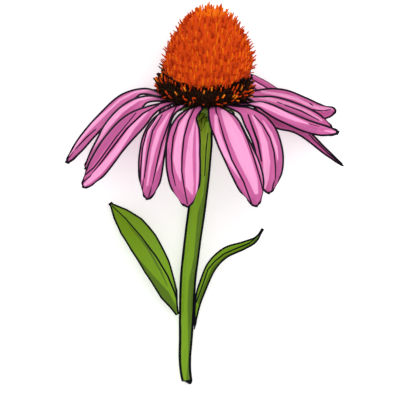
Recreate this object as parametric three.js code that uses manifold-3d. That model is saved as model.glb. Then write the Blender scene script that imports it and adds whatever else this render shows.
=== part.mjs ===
import * as THREE from 'three';
import { mergeVertices } from 'three/addons/utils/BufferGeometryUtils.js';
import Module from 'manifold-3d';

const wasm = await Module();
wasm.setup();

// One drawn unit is 0.4 mm. The sheet is 400 units square and its middle is the point below.
const UNIT = 0.4;
const MIDDLE_X = 203.5;
const MIDDLE_Y = 194;

// The head: centre of the underside of its dark ring, and how its axis stands off the ground.
const HEAD_AT = new THREE.Vector3(0.3, 39.2, 22);
const HEAD_RISE_DEG = 15;
const HEAD_LEAN_DEG = 2;

// Cone: [height, radius] up the axis. Its tip is carried to one side by the sway.
const CONE_PROFILE = [[7.1, 0], [7.1, 16.4], [9.2, 17.3], [13, 17.5], [16.8, 16.9], [20.5, 15.8],
  [24, 14], [27.4, 12], [30.8, 9.4], [33.2, 6.8], [35, 4.1], [36.1, 1.7], [36.4, 0]];
const CONE_SWAY = 1.5;
const CONE_SWAY_DONE = 15;
const CONE_NOD = 0.7;
const CONE_NOD_FROM = 31;
const CONE_NOD_RUN = 5;
const CONE_SIDES = 28;
const SPINES = 270;
const SPINE_RADIUS = 0.6;
const SPINE_LENGTH = 2.1;
const SPINE_ROOT = 1;
const SPINE_SIDES = 4;
const SPINE_FIRST = 0.07;
const SPINE_SUNK = 0.1;
const SPINE_TILT = 0.35;
const SPINE_TAPER = 0.12;
const SLOPE_STEP = 0.02;
const AREA_STEPS = 400;

// Dark ring of florets under the cone.
const SKIRT_PROFILE = [[0, 0], [0, 15.4], [0.9, 16.8], [2.8, 18.1], [4.5, 18.5], [6, 18], [6.8, 16.8],
  [6.8, 0]];
const SKIRT_ROWS = [[1.9, 28, 1.3], [3.7, 32, 1.6], [5.3, 30, 1.7]];
const FLORET_RADIUS = 0.75;
const FLORET_ROOT = 1;
const FLORET_SUNK = 0.2;
const FLORET_TILT = 0.12;

// Green cup that holds the petals from below, with two rows of pointed bracts.
const CUP_PROFILE = [[-1.5, 0], [-1.5, 14.6], [-2.4, 14.4], [-4, 11.4], [-6, 7.6], [-8, 5], [-9, 4.2], [-9, 0]];
const BRACT_ROWS = [
  { count: 11, root: [8, -4.6], knee: [12, -5], tip: [12.4, -8.4], width: 4.6, turn: 0 },
  { count: 9, root: [5.2, -7], knee: [8.6, -8.4], tip: [7.6, -12.4], width: 4, turn: 16 },
];
const BRACT_THICK = 0.8;
const BRACT_TIP_HALF = 0.35;
const BRACT_POINT = 2.2;
const BRACT_KEEL = 0.3;

// Petals. Each base lies level between the cup and the ring, at these radii.
const PETAL_THICK = 0.8;
const PETAL_LEVEL = -0.75;
const PETAL_ROOTS = [13.6, 15.4, 17.2];
const PETAL_BASE_HALF = 2;
const PETAL_OUTLINE = [[0, 0], [0.1, 0.06], [0.2, 0.34], [0.34, 0.8], [0.5, 1], [0.72, 1],
  [0.86, 0.88], [0.94, 0.66], [1, 0.34]];
const PETAL_COLUMNS = [-1, -0.66, -0.33, 0, 0.33, 0.66, 1];
const PETAL_RELIEF = [0.1, 0.3, -0.3, 0.35, -0.3, 0.3, 0.1];
const PETAL_END = [0.945, 0.985, 0.972, 1, 0.972, 0.985, 0.945];
const PETAL_ROWS = 12;
const PETAL_CUP = -0.9;
const RELIEF_FROM = 0.12;
const RELIEF_FULL = 0.4;
const LIFT_FROM = 0.1;
const LIFT_FULL = 0.5;
const FRAME_STEPS = 80;
const SLIM_OUTLINE = [[0, 0], [0.1, 0.06], [0.2, 0.62], [0.3, 1], [0.4, 0.7], [0.52, 0.2], [0.75, -0.05],
  [0.9, -0.2], [1, -0.32]];

// Each petal: the bearing of its base round the head, its width, how far its face is turned up to
// the sky (0 to 1), and the way its middle runs as [across, down, height off the ground].
const PETALS = [
  { name: 'petal_01', bearing: 99, width: 14.6, lift: 0.1,
    way: [[186.5, 119, 42.6], [183, 141, 49.6], [183, 166, 53.1], [185.5, 190, 53.7], [188, 207.5, 52.8]] },
  { name: 'petal_02', bearing: 123, width: 13, lift: 0.2,
    way: [[167, 114.5, 38.6], [156, 131, 40], [151.3, 152, 42.8], [149, 176, 42.6], [147.5, 200, 40.8]] },
  { name: 'petal_03', bearing: 144, width: 11.6, lift: 0.5,
    way: [[148, 111.5, 32.7], [129.5, 125.5, 33.9], [113.5, 143, 33.4], [100.5, 161.5, 32.4], [83, 188, 30]] },
  { name: 'petal_04', bearing: 162, width: 12, lift: 0.45,
    way: [[146, 99.5, 25.2], [126.5, 112, 23.7], [111.5, 128.5, 23.4], [100.5, 147, 21.1], [85, 169.5, 18.5]] },
  { name: 'petal_05', bearing: 184, width: 10.4, lift: 0.1,
    way: [[142, 91, 16], [122, 99, 14.3], [101.5, 117.5, 11.9], [82, 139.5, 9.8], [65.5, 163, 7.4]] },
  { name: 'petal_06', bearing: 204, width: 10.6, lift: 0,
    way: [[143, 103, 11], [125, 118, 7], [109, 138, 3.6], [98, 157, 0.9]] },
  { name: 'petal_07', bearing: 226, width: 10.5, lift: 0,
    way: [[164, 108, 7.6], [158, 128, 4.6], [152, 150, 2.4], [150, 174, 0.9]] },
  { name: 'petal_08', bearing: 247, width: 10, lift: 0,
    way: [[185, 74, 1.9], [184, 58, 0.6], [187, 42, 0.4], [196, 28, 1]] },
  { name: 'petal_09', bearing: 268, width: 10, lift: 0,
    way: [[202, 98, 2], [197, 125, 1.2], [188, 152, 0.9], [187, 184, 0.9]] },
  { name: 'petal_10', bearing: 288, width: 10, lift: 0,
    way: [[222, 74, 1.9], [229, 58, 0.6], [231, 42, 0.4], [226, 28, 1]] },
  { name: 'petal_11', bearing: 307, width: 10.5, lift: 0.5,
    way: [[245, 80, 6], [259, 86.5, 4], [275, 96.5, 2.2], [291, 108, 1], [306, 119, 0.4]] },
  { name: 'petal_12', bearing: 328, width: 8.6, lift: 0.75,
    way: [[262, 95.5, 10.3], [285, 98.5, 9.3], [303, 105.5, 8.1], [320, 111.5, 8.5], [337, 110, 9.9]] },
  { name: 'petal_13', bearing: 348, width: 9, lift: 0.75,
    way: [[265, 102.5, 16.7], [290, 110.5, 15.2], [312, 119.5, 13.6], [333, 130, 12.4]] },
  { name: 'petal_14', bearing: 8, width: 10.4, lift: 0.75, slim: true,
    way: [[262, 108.5, 24.1], [282, 120, 23.4], [303, 131, 19.3], [325, 150, 15.7], [344, 166, 13.3]] },
  { name: 'petal_15', bearing: 28, width: 10.4, lift: 0.2,
    way: [[262, 104.2, 31], [285, 115, 32.9], [310, 125.5, 32.3], [339, 132.5, 30.9]] },
  { name: 'petal_16', bearing: 49, width: 13.4, lift: 0.4,
    way: [[247.5, 112.5, 36.9], [262, 129, 39.9], [269.5, 150, 41.5], [271, 172, 41.3], [268, 194, 39.1]] },
  { name: 'petal_17', bearing: 74, width: 15, lift: 0,
    way: [[222, 121, 43.6], [234, 145, 50.1], [246.5, 170, 51.4], [254, 191, 50.3], [256, 207, 48.6]] },
];

// Stem: [across, down, radius]. Its height climbs from the cut end to the cup.
const STEM_WAY = [[187, 382.5, 2.1], [185.4, 372, 2.4], [184.8, 358, 2.65], [185.7, 340, 2.95],
  [186.6, 315, 3.1], [188, 280, 3.2], [190.6, 256, 3.35], [193.6, 232, 3.4], [196.9, 208, 3.5],
  [200, 180, 3.55], [202, 155, 3.65], [203.6, 130, 3.8]];
const STEM_FOOT_Z = 1.95;
const STEM_CLIMB = 5.9;
const STEM_SWEEP = 9.6;
const STEM_TOP_LEVEL = -9.4;
const STEM_NECK = 6;
const STEM_RIBS = 5;
const STEM_RIB_DEPTH = 0.05;
const STEM_SIDES = 16;
const STEM_ROWS = 18;
const STEM_CUT_SLANT = 0.9;
const STEM_CUT_NOTCH = 0.35;

// Leaves: folded along the midrib, with their own outlines from base to tip.
const LEAF_THICK = 0.8;
const LEAF_FOLD_LEVEL = 0.5;
const LEAF_ROWS = 14;
const LEAF_COLUMNS = [-1, -0.55, -0.15, 0, 0.15, 0.55, 1];
const LEFT_LEAF = {
  name: 'leaf_left', width: 12.4, fold: 1.5, lift: 0, baseHalf: 0.9, up: [0.2, 0.2, 1],
  way: [[177.2, 315, 5.7], [168, 293, 8.4], [155.7, 265.7, 10.2], [137.4, 235.2, 9], [109.5, 203, 4.2]],
  outline: [[0, 0.12], [0.08, 0.32], [0.17, 0.62], [0.4, 0.93], [0.6, 1], [0.75, 0.9], [0.88, 0.56], [1, 0.06]],
};
const RIGHT_LEAF = {
  name: 'leaf_right', width: 4.6, fold: 1.9, lift: 0, baseHalf: 0.6, up: [-0.35, 0.1, 1],
  way: [[194.4, 330, 5], [198.6, 302, 8.2], [204.8, 283, 10], [213.4, 265, 11.8], [226, 253, 13],
    [244.5, 245.6, 14], [256, 239.6, 15], [263, 229, 16.6]],
  outline: [[0, 0], [0.12, 0.4], [0.3, 0.86], [0.5, 1], [0.7, 0.96], [0.86, 0.66], [1, 0.08]],
};

const COLOURS = {
  petal: '#E58CC8', cone: '#D8480E', skirt: '#2A1408', cup: '#5E7E1C', stem: '#739C1D', leaf: '#6E9A1C',
};

const GROUND_SIDE = 400;
const GROUND_DEPTH = 20;

const TURN = Math.PI / 180;
const GOLDEN = Math.PI * (3 - Math.sqrt(5));

function headAxes() {
  const rise = HEAD_RISE_DEG * TURN;
  const lean = HEAD_LEAN_DEG * TURN;
  const flat = Math.cos(rise);
  const up = new THREE.Vector3(Math.sin(lean) * flat, Math.cos(lean) * flat, Math.sin(rise));
  const right = new THREE.Vector3(Math.cos(lean), -Math.sin(lean), 0);
  const front = new THREE.Vector3().crossVectors(right, up);
  return { up, right, front };
}

const HEAD = headAxes();

// A point at a radius, a bearing and a height in the head's own frame, where bearing 90 faces front.
function onHead(radius, bearing, height) {
  return HEAD_AT.clone()
    .addScaledVector(HEAD.right, radius * Math.cos(bearing * TURN))
    .addScaledVector(HEAD.front, radius * Math.sin(bearing * TURN))
    .addScaledVector(HEAD.up, height);
}

function drawn([across, down, z]) {
  return new THREE.Vector3((across - MIDDLE_X) * UNIT, (MIDDLE_Y - down) * UNIT, z);
}

function between(table, x) {
  if (x <= table[0][0]) return table[0][1];
  for (let i = 1; i < table.length; i++) {
    if (x > table[i][0]) continue;
    const share = (x - table[i - 1][0]) / (table[i][0] - table[i - 1][0]);
    return table[i - 1][1] + share * (table[i][1] - table[i - 1][1]);
  }
  return table[table.length - 1][1];
}

function solidFrom(geometry) {
  const bare = geometry.clone();
  bare.deleteAttribute('normal');
  bare.deleteAttribute('uv');
  const welded = mergeVertices(bare, 1e-5);
  const vertProperties = new Float32Array(welded.attributes.position.array);
  const triVerts = new Uint32Array(welded.index.array);
  return new wasm.Manifold(new wasm.Mesh({ numProp: 3, vertProperties, triVerts }));
}

function geometryFrom(solid) {
  const mesh = solid.getMesh();
  const geometry = new THREE.BufferGeometry();
  geometry.setAttribute('position', new THREE.BufferAttribute(new Float32Array(mesh.vertProperties), 3));
  geometry.setIndex(new THREE.BufferAttribute(new Uint32Array(mesh.triVerts), 1));
  return geometry;
}

function fuse(geometries) {
  let solid = solidFrom(geometries[0]);
  for (const geometry of geometries.slice(1)) solid = solid.add(solidFrom(geometry));
  return geometryFrom(solid);
}

function meshFrom(points, triangles) {
  const geometry = new THREE.BufferGeometry();
  geometry.setAttribute('position', new THREE.Float32BufferAttribute(points.flatMap((p) => p.toArray()), 3));
  geometry.setIndex(triangles);
  return geometry;
}

// Frames carried along a curve without twisting, starting with the given upper side.
function carriedFrames(curve, upper, lift) {
  const frames = [];
  let up = upper.clone().normalize();
  for (let i = 0; i <= FRAME_STEPS; i++) {
    const s = i / FRAME_STEPS;
    const along = curve.getTangentAt(s).normalize();
    up = up.clone().addScaledVector(along, -up.dot(along)).normalize();
    const sky = new THREE.Vector3(0, 0, 1).addScaledVector(along, -along.z).normalize();
    const faced = up.clone().lerp(sky, lift * THREE.MathUtils.smoothstep(s, LIFT_FROM, LIFT_FULL)).normalize();
    frames.push({ at: curve.getPointAt(s), up: faced, side: along.clone().cross(faced) });
  }
  return (s) => {
    const x = Math.min(Math.max(s, 0), 1) * FRAME_STEPS;
    const low = Math.min(Math.floor(x), FRAME_STEPS - 1);
    const share = x - low;
    const mix = (key) => frames[low][key].clone().lerp(frames[low + 1][key], share);
    return { at: mix('at'), up: mix('up').normalize(), side: mix('side').normalize() };
  };
}

// A thin blade: rows along a curve, columns across it, and the same grid on both faces.
function blade({ curve, upper, lift, rows, columns, half, relief, end, thick }) {
  const frameAt = carriedFrames(curve, upper, lift);
  const top = [];
  const under = [];
  for (let i = 0; i < rows; i++) {
    const s = i / (rows - 1);
    const row = columns.map((t, j) => {
      const frame = frameAt(s * end[j]);
      const middle = frame.at.addScaledVector(frame.side, t * half(s)).addScaledVector(frame.up, relief(s, j));
      const over = middle.clone().addScaledVector(frame.up, thick / 2);
      return [over, middle.addScaledVector(frame.up, -thick / 2)];
    });
    liftOffGround(row.flat());
    row.forEach(([over, below]) => {
      top.push(over);
      under.push(below);
    });
  }
  return meshFrom([...top, ...under], gridFaces(rows, columns.length));
}

// A row of a blade that would dip under the ground is raised until it lies on it.
function liftOffGround(points) {
  const lowest = Math.min(0, ...points.map((point) => point.z));
  for (const point of points) point.z -= lowest;
}

function gridFaces(rows, across) {
  const faces = [];
  const below = rows * across;
  const quad = (a, b, c, d) => faces.push(a, b, c, a, c, d);
  for (let i = 0; i < rows - 1; i++) {
    for (let j = 0; j < across - 1; j++) {
      const a = i * across + j;
      faces.push(a, a + 1, a + across + 1, a, a + across + 1, a + across);
      const b = a + below;
      faces.push(b, b + across + 1, b + 1, b, b + across, b + across + 1);
    }
    const left = i * across;
    quad(left, left + across, left + across + below, left + below);
    const right = left + across - 1;
    quad(right + across, right, right + below, right + across + below);
  }
  const last = (rows - 1) * across;
  for (let j = 0; j < across - 1; j++) {
    quad(j + 1, j, j + below, j + 1 + below);
    quad(last + j, last + j + 1, last + j + 1 + below, last + j + below);
  }
  return faces;
}

function petal({ bearing, width, lift, way, slim }) {
  const roots = PETAL_ROOTS.map((radius) => onHead(radius, bearing, PETAL_LEVEL));
  const curve = new THREE.CatmullRomCurve3([...roots, ...way.map(drawn)], false, 'centripetal');
  const spread = width / 2 - PETAL_BASE_HALF;
  return blade({
    curve, upper: HEAD.up, lift, rows: PETAL_ROWS, columns: PETAL_COLUMNS, end: PETAL_END, thick: PETAL_THICK,
    half: (s) => PETAL_BASE_HALF + spread * between(slim ? SLIM_OUTLINE : PETAL_OUTLINE, s),
    relief: (s, j) => THREE.MathUtils.smoothstep(s, RELIEF_FROM, RELIEF_FULL)
      * (PETAL_RELIEF[j] + PETAL_CUP * PETAL_COLUMNS[j] ** 2),
  });
}

function leaf({ width, fold, lift, baseHalf, up, way, outline }) {
  const curve = new THREE.CatmullRomCurve3(way.map(drawn), false, 'centripetal');
  const shape = (s) => between(outline, s);
  return blade({
    curve, upper: new THREE.Vector3(...up), lift, rows: LEAF_ROWS, columns: LEAF_COLUMNS,
    end: LEAF_COLUMNS.map(() => 1), thick: LEAF_THICK,
    half: (s) => Math.max(baseHalf, (width / 2) * shape(s)),
    relief: (s, j) => fold * shape(s) * (Math.abs(LEAF_COLUMNS[j]) - LEAF_FOLD_LEVEL),
  });
}

// A closed turned solid about the head's axis, from [height, radius] pairs, with an optional sway.
function turned(profile, sides, sway = () => 0) {
  const inner = profile.slice(1, -1);
  const points = [swayed(0, 0, profile[0][0], sway)];
  for (const [height, radius] of inner) {
    for (let k = 0; k < sides; k++) points.push(swayed(radius, (360 * k) / sides, height, sway));
  }
  points.push(swayed(0, 0, profile[profile.length - 1][0], sway));
  const faces = [];
  const rising = profile[profile.length - 1][0] > profile[0][0];
  const face = (a, b, c) => (rising ? faces.push(a, c, b) : faces.push(a, b, c));
  const last = points.length - 1;
  for (let k = 0; k < sides; k++) {
    const next = (k + 1) % sides;
    face(0, 1 + next, 1 + k);
    face(last, last - sides + k, last - sides + next);
    for (let i = 0; i < inner.length - 1; i++) {
      const low = 1 + i * sides;
      const high = low + sides;
      face(low + k, low + next, high + next);
      face(low + k, high + next, high + k);
    }
  }
  return meshFrom(points, faces);
}

function swayed(radius, bearing, height, sway) {
  return onHead(radius, bearing, height).addScaledVector(HEAD.right, sway(height));
}

function coneSway(height) {
  const swayed = CONE_SWAY * THREE.MathUtils.smoothstep(height, CONE_PROFILE[0][0], CONE_SWAY_DONE);
  return swayed + CONE_NOD * Math.max(0, (height - CONE_NOD_FROM) / CONE_NOD_RUN) ** 2;
}

// A small pointed spike that stands at a place and points along a direction, its root sunk in.
function spike(at, direction, radius, length, root) {
  const shape = new THREE.ConeGeometry(radius * (1 + root / length), length + root, SPINE_SIDES, 1);
  shape.translate(0, (length - root) / 2, 0);
  const turn = new THREE.Quaternion().setFromUnitVectors(new THREE.Vector3(0, 1, 0), direction);
  shape.applyQuaternion(turn);
  return shape.translate(at.x, at.y, at.z);
}

function profilePoint(profile, share) {
  const lengths = [0];
  for (let i = 1; i < profile.length; i++) {
    const run = Math.hypot(profile[i][0] - profile[i - 1][0], profile[i][1] - profile[i - 1][1]);
    lengths.push(lengths[i - 1] + run);
  }
  const wanted = share * lengths[lengths.length - 1];
  const heights = lengths.map((length, i) => [length, profile[i][0]]);
  const radii = lengths.map((length, i) => [length, profile[i][1]]);
  return { height: between(heights, wanted), radius: between(radii, wanted) };
}

// Spines stand at even spacing on the cone, in a golden-angle spiral from its rim to its tip.
function spinyCone() {
  const side = CONE_PROFILE.slice(1);
  const areas = [0];
  for (let i = 1; i <= AREA_STEPS; i++) {
    areas.push(areas[i - 1] + profilePoint(side, (i - 0.5) / AREA_STEPS).radius);
  }
  const table = areas.map((area, i) => [area / areas[AREA_STEPS], i / AREA_STEPS]);
  const parts = [turned(CONE_PROFILE, CONE_SIDES, coneSway)];
  for (let n = 0; n < SPINES; n++) {
    const share = between(table, SPINE_FIRST + ((1 - SPINE_FIRST) * (n + 0.5)) / SPINES);
    const low = profilePoint(side, Math.max(0, share - SLOPE_STEP));
    const high = profilePoint(side, Math.min(1, share + SLOPE_STEP));
    const here = profilePoint(side, share);
    const bearing = (n * GOLDEN) / TURN;
    const out = Math.atan2(low.radius - high.radius, high.height - low.height);
    const tilt = Math.min(out + SPINE_TILT, Math.PI / 2);
    const tip = onHead(here.radius + Math.cos(tilt), bearing, here.height + Math.sin(tilt));
    const direction = tip.sub(onHead(here.radius, bearing, here.height)).normalize();
    const at = swayed(here.radius - SPINE_SUNK, bearing, here.height, coneSway);
    parts.push(spike(at, direction, SPINE_RADIUS, SPINE_LENGTH * (1 - SPINE_TAPER * share), SPINE_ROOT));
  }
  return fuse(parts);
}

function floretSkirt() {
  const parts = [turned(SKIRT_PROFILE, CONE_SIDES)];
  const radii = SKIRT_PROFILE.slice(1, -1);
  SKIRT_ROWS.forEach(([height, count, length], row) => {
    for (let k = 0; k < count; k++) {
      const bearing = (360 * (k + 0.5 * (row % 2))) / count;
      const radius = between(radii, height) - FLORET_SUNK;
      const root = onHead(radius, bearing, height);
      const direction = onHead(radius + 1, bearing, height + FLORET_TILT * row).sub(root).normalize();
      parts.push(spike(root, direction, FLORET_RADIUS, length, FLORET_ROOT));
    }
  });
  return fuse(parts);
}

function bract(row, bearing) {
  const ends = [row.root, row.knee, row.tip].map(([radius, height]) => onHead(radius, bearing, height));
  const curve = new THREE.QuadraticBezierCurve3(...ends);
  return blade({
    curve, upper: HEAD.up, lift: 0, rows: 4, columns: [-1, 0, 1], end: [1, 1, 1], thick: BRACT_THICK,
    half: (s) => Math.max(BRACT_TIP_HALF, (row.width / 2) * (1 - s ** BRACT_POINT)),
    relief: (s, j) => (j === 1 ? BRACT_KEEL * (1 - s) : 0),
  });
}

function bractCup() {
  const parts = [turned(CUP_PROFILE, CONE_SIDES)];
  for (const row of BRACT_ROWS) {
    for (let k = 0; k < row.count; k++) parts.push(bract(row, row.turn + (360 * k) / row.count));
  }
  return fuse(parts);
}

// Ribbed stem swept from its ragged cut end to just below the cup.
function stem() {
  const span = STEM_WAY.length - 1;
  const bottomY = STEM_WAY[0][1];
  const topY = STEM_WAY[span][1];
  const climbed = (down) => (bottomY - down) / (bottomY - topY);
  const height = (down) => STEM_FOOT_Z + STEM_CLIMB * climbed(down) + STEM_SWEEP * climbed(down) ** 2;
  const way = STEM_WAY.map(([across, down]) => drawn([across, down, height(down)]));
  way.push(onHead(0, 0, STEM_TOP_LEVEL - STEM_NECK), onHead(0, 0, STEM_TOP_LEVEL));
  const curve = new THREE.CatmullRomCurve3(way, false, 'centripetal');
  const frameAt = carriedFrames(curve, new THREE.Vector3(0, 0, 1), 0);
  const points = [];
  for (let i = 0; i < STEM_ROWS; i++) {
    const s = i / (STEM_ROWS - 1);
    for (let k = 0; k < STEM_SIDES; k++) {
      points.push(stemPoint(frameAt(s), s, (2 * Math.PI * k) / STEM_SIDES, i));
    }
  }
  const faces = [];
  for (let i = 0; i < STEM_ROWS - 1; i++) {
    for (let k = 0; k < STEM_SIDES; k++) {
      const a = i * STEM_SIDES + k;
      const b = i * STEM_SIDES + ((k + 1) % STEM_SIDES);
      faces.push(a, b + STEM_SIDES, b, a, a + STEM_SIDES, b + STEM_SIDES);
    }
  }
  const last = (STEM_ROWS - 1) * STEM_SIDES;
  points.push(frameAt(0).at, frameAt(1).at);
  for (let k = 0; k < STEM_SIDES; k++) {
    const next = (k + 1) % STEM_SIDES;
    faces.push(points.length - 2, k, next, points.length - 1, last + next, last + k);
  }
  return meshFrom(points, faces);
}

function stemPoint(frame, s, angle, row) {
  const radii = STEM_WAY.map((entry, i) => [i / (STEM_WAY.length + 1), entry[2]]);
  const ribbed = 1 + STEM_RIB_DEPTH * Math.cos(STEM_RIBS * 2 * angle);
  const radius = between(radii, s) * ribbed;
  const point = frame.at.clone()
    .addScaledVector(frame.side, radius * Math.cos(angle))
    .addScaledVector(frame.up, radius * Math.sin(angle));
  if (row === 0) point.y += STEM_CUT_SLANT * Math.cos(angle + 2.6) + STEM_CUT_NOTCH * Math.cos(3 * angle);
  return point;
}

// What dips under the ground is cut off flat, which leaves the small flat spots it rests on.
function restedOnGround(geometry) {
  geometry.computeBoundingBox();
  if (geometry.boundingBox.min.z >= 0) return geometry;
  const ground = new THREE.BoxGeometry(GROUND_SIDE, GROUND_SIDE, GROUND_DEPTH);
  ground.translate(0, 0, -GROUND_DEPTH / 2);
  return geometryFrom(solidFrom(geometry).subtract(solidFrom(ground)));
}

function node(name, geometry, colour, roughness) {
  const material = new THREE.MeshStandardMaterial({ color: colour, roughness, metalness: 0 });
  const mesh = new THREE.Mesh(restedOnGround(geometry), material);
  mesh.name = name;
  return mesh;
}

function flower() {
  const group = new THREE.Group();
  group.name = 'coneflower_stem';
  group.add(node('spiny_cone', spinyCone(), COLOURS.cone, 0.7));
  group.add(node('floret_skirt', floretSkirt(), COLOURS.skirt, 0.75));
  group.add(node('bract_cup', bractCup(), COLOURS.cup, 0.6));
  group.add(node('stem', stem(), COLOURS.stem, 0.55));
  for (const spec of PETALS) group.add(node(spec.name, petal(spec), COLOURS.petal, 0.55));
  for (const spec of [LEFT_LEAF, RIGHT_LEAF]) group.add(node(spec.name, leaf(spec), COLOURS.leaf, 0.5));
  const box = new THREE.Box3().setFromObject(group);
  const middle = box.getCenter(new THREE.Vector3());
  for (const mesh of group.children) mesh.geometry.translate(-middle.x, -middle.y, -box.min.z);
  return group;
}

export default flower();
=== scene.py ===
import math

import bpy
import numpy as np
from bpy.props import FloatProperty, FloatVectorProperty, IntProperty, PointerProperty
from bpy.types import Operator, Panel, PropertyGroup
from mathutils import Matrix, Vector


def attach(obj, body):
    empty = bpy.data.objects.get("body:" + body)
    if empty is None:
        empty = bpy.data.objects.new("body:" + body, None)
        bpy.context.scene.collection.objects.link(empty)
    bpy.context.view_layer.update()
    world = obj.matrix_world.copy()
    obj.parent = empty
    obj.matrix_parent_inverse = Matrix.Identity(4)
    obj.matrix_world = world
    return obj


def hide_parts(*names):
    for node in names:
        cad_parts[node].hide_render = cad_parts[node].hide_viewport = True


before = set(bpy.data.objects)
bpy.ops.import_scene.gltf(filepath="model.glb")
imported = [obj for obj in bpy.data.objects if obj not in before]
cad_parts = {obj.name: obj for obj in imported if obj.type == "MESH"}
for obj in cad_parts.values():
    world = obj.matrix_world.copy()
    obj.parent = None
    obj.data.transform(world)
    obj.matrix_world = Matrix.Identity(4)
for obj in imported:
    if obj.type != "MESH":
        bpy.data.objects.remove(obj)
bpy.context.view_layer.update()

bl_info = {
    "name": "Coneflower",
    "version": (1, 0),
    "blender": (4, 5, 0),
    "location": "3D View > Sidebar > Coneflower",
    "description": "Makes a cut coneflower: cone, floret ring, petals, stem and leaves",
    "category": "Object",
}

# All lengths below are millimetres unless a name says otherwise. MM turns them to metres.
MM = 0.001

# The drawing: a sheet of 400 units, 0.4 mm each, with the part's own middle at this unit.
UNIT = 0.4
MIDDLE = (203.5, 194)
SHEET_CENTRE, SHEET_SIDE = (200, 200), 400

# The drawing's middle lies this far from the part's origin, across and along.
DRAWING_SHIFT = np.array([-0.325, 0.155, 0.0])

# The head: centre of the underside of its dark ring, and how its axis stands.
HEAD_AT = np.array([0.3, 39.2, 22.0]) + DRAWING_SHIFT
HEAD_RISE = math.radians(15)
HEAD_LEAN = math.radians(2)
HEAD_UP = np.array([math.sin(HEAD_LEAN) * math.cos(HEAD_RISE),
                    math.cos(HEAD_LEAN) * math.cos(HEAD_RISE), math.sin(HEAD_RISE)])
HEAD_RIGHT = np.array([math.cos(HEAD_LEAN), -math.sin(HEAD_LEAN), 0.0])
HEAD_FRONT = np.cross(HEAD_RIGHT, HEAD_UP)

# Turned forms as (height, radius) pairs up the head's axis: cone, dark ring and green cup.
CONE_PROFILE = ((7.1, 0), (7.1, 16), (9.2, 16.9), (13, 17.1), (16.8, 16.5), (20.5, 15.4), (24, 13.7),
                (27.4, 11.7), (30.8, 9.1), (33.2, 6.5), (34.9, 3.9), (35.8, 1.7), (36.1, 0))
# The cone leans aside by this much in full at this height, then nods a little further at its top.
CONE_SWAY, CONE_SWAY_DONE = 1.5, 15
CONE_NOD, CONE_NOD_FROM, CONE_NOD_RUN = 0.7, 31, 5
SKIRT_PROFILE = ((0, 0), (0, 15.4), (0.9, 16.8), (2.8, 18.0), (4.5, 18.3), (6, 17.8), (6.8, 16.6), (6.8, 0))
CUP_PROFILE = ((-1.5, 0), (-1.5, 14.6), (-2.4, 14.4), (-4, 11.4), (-6, 7.6), (-8, 5), (-9, 4.2), (-9, 0))
# Bracts, in rows round the cup. Root, knee and tip are (radius, height) about the head's axis.
BRACT_ROWS = (
    {"count": 11, "root": (8, -4.6), "knee": (12, -5), "tip": (12.2, -7.4), "width": 4.6, "turn": 0},
    {"count": 9, "root": (5.2, -7), "knee": (8.6, -8.4), "tip": (7.6, -12.4), "width": 4, "turn": 16},
)

# Petals: the level and the radii at which their roots run out under the ring, and half their width there.
PETAL_LEVEL = -0.75
PETAL_ROOTS = (13.6, 15.4, 17.2)
PETAL_BASE_HALF = 2
# Outlines as (share of length, share of the width beyond the root's).
PETAL_OUTLINE = ((0, 0), (0.1, 0.18), (0.2, 0.46), (0.34, 0.84), (0.5, 1), (0.72, 1), (0.86, 0.88),
                 (0.94, 0.66), (1, 0.34))
SLIM_OUTLINE = ((0, 0), (0.1, 0.06), (0.2, 0.62), (0.3, 1), (0.4, 0.7), (0.52, 0.2), (0.75, -0.05),
                (0.9, -0.2), (1, -0.32))
# Across a petal, from edge to edge, the height of its folds, and how far its sides bend down besides.
PETAL_COLUMNS = (-1, -0.66, -0.33, 0, 0.33, 0.66, 1)
PETAL_RELIEF = (0.1, 0.3, -0.3, 0.35, -0.3, 0.3, 0.1)
PETAL_CUP = -0.9

# A petal's tip: how far its corners fall back, and how deep its faint teeth are, as shares of length.
TIP_FALL, TIP_FALL_POWER, TIP_TOOTH = 0.07, 2.3, 0.003

# Where along a petal its base may be flared or drawn in, and over what reach, as shares of length.
FLARE_AT, FLARE_REACH = 0.2, 0.15

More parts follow.
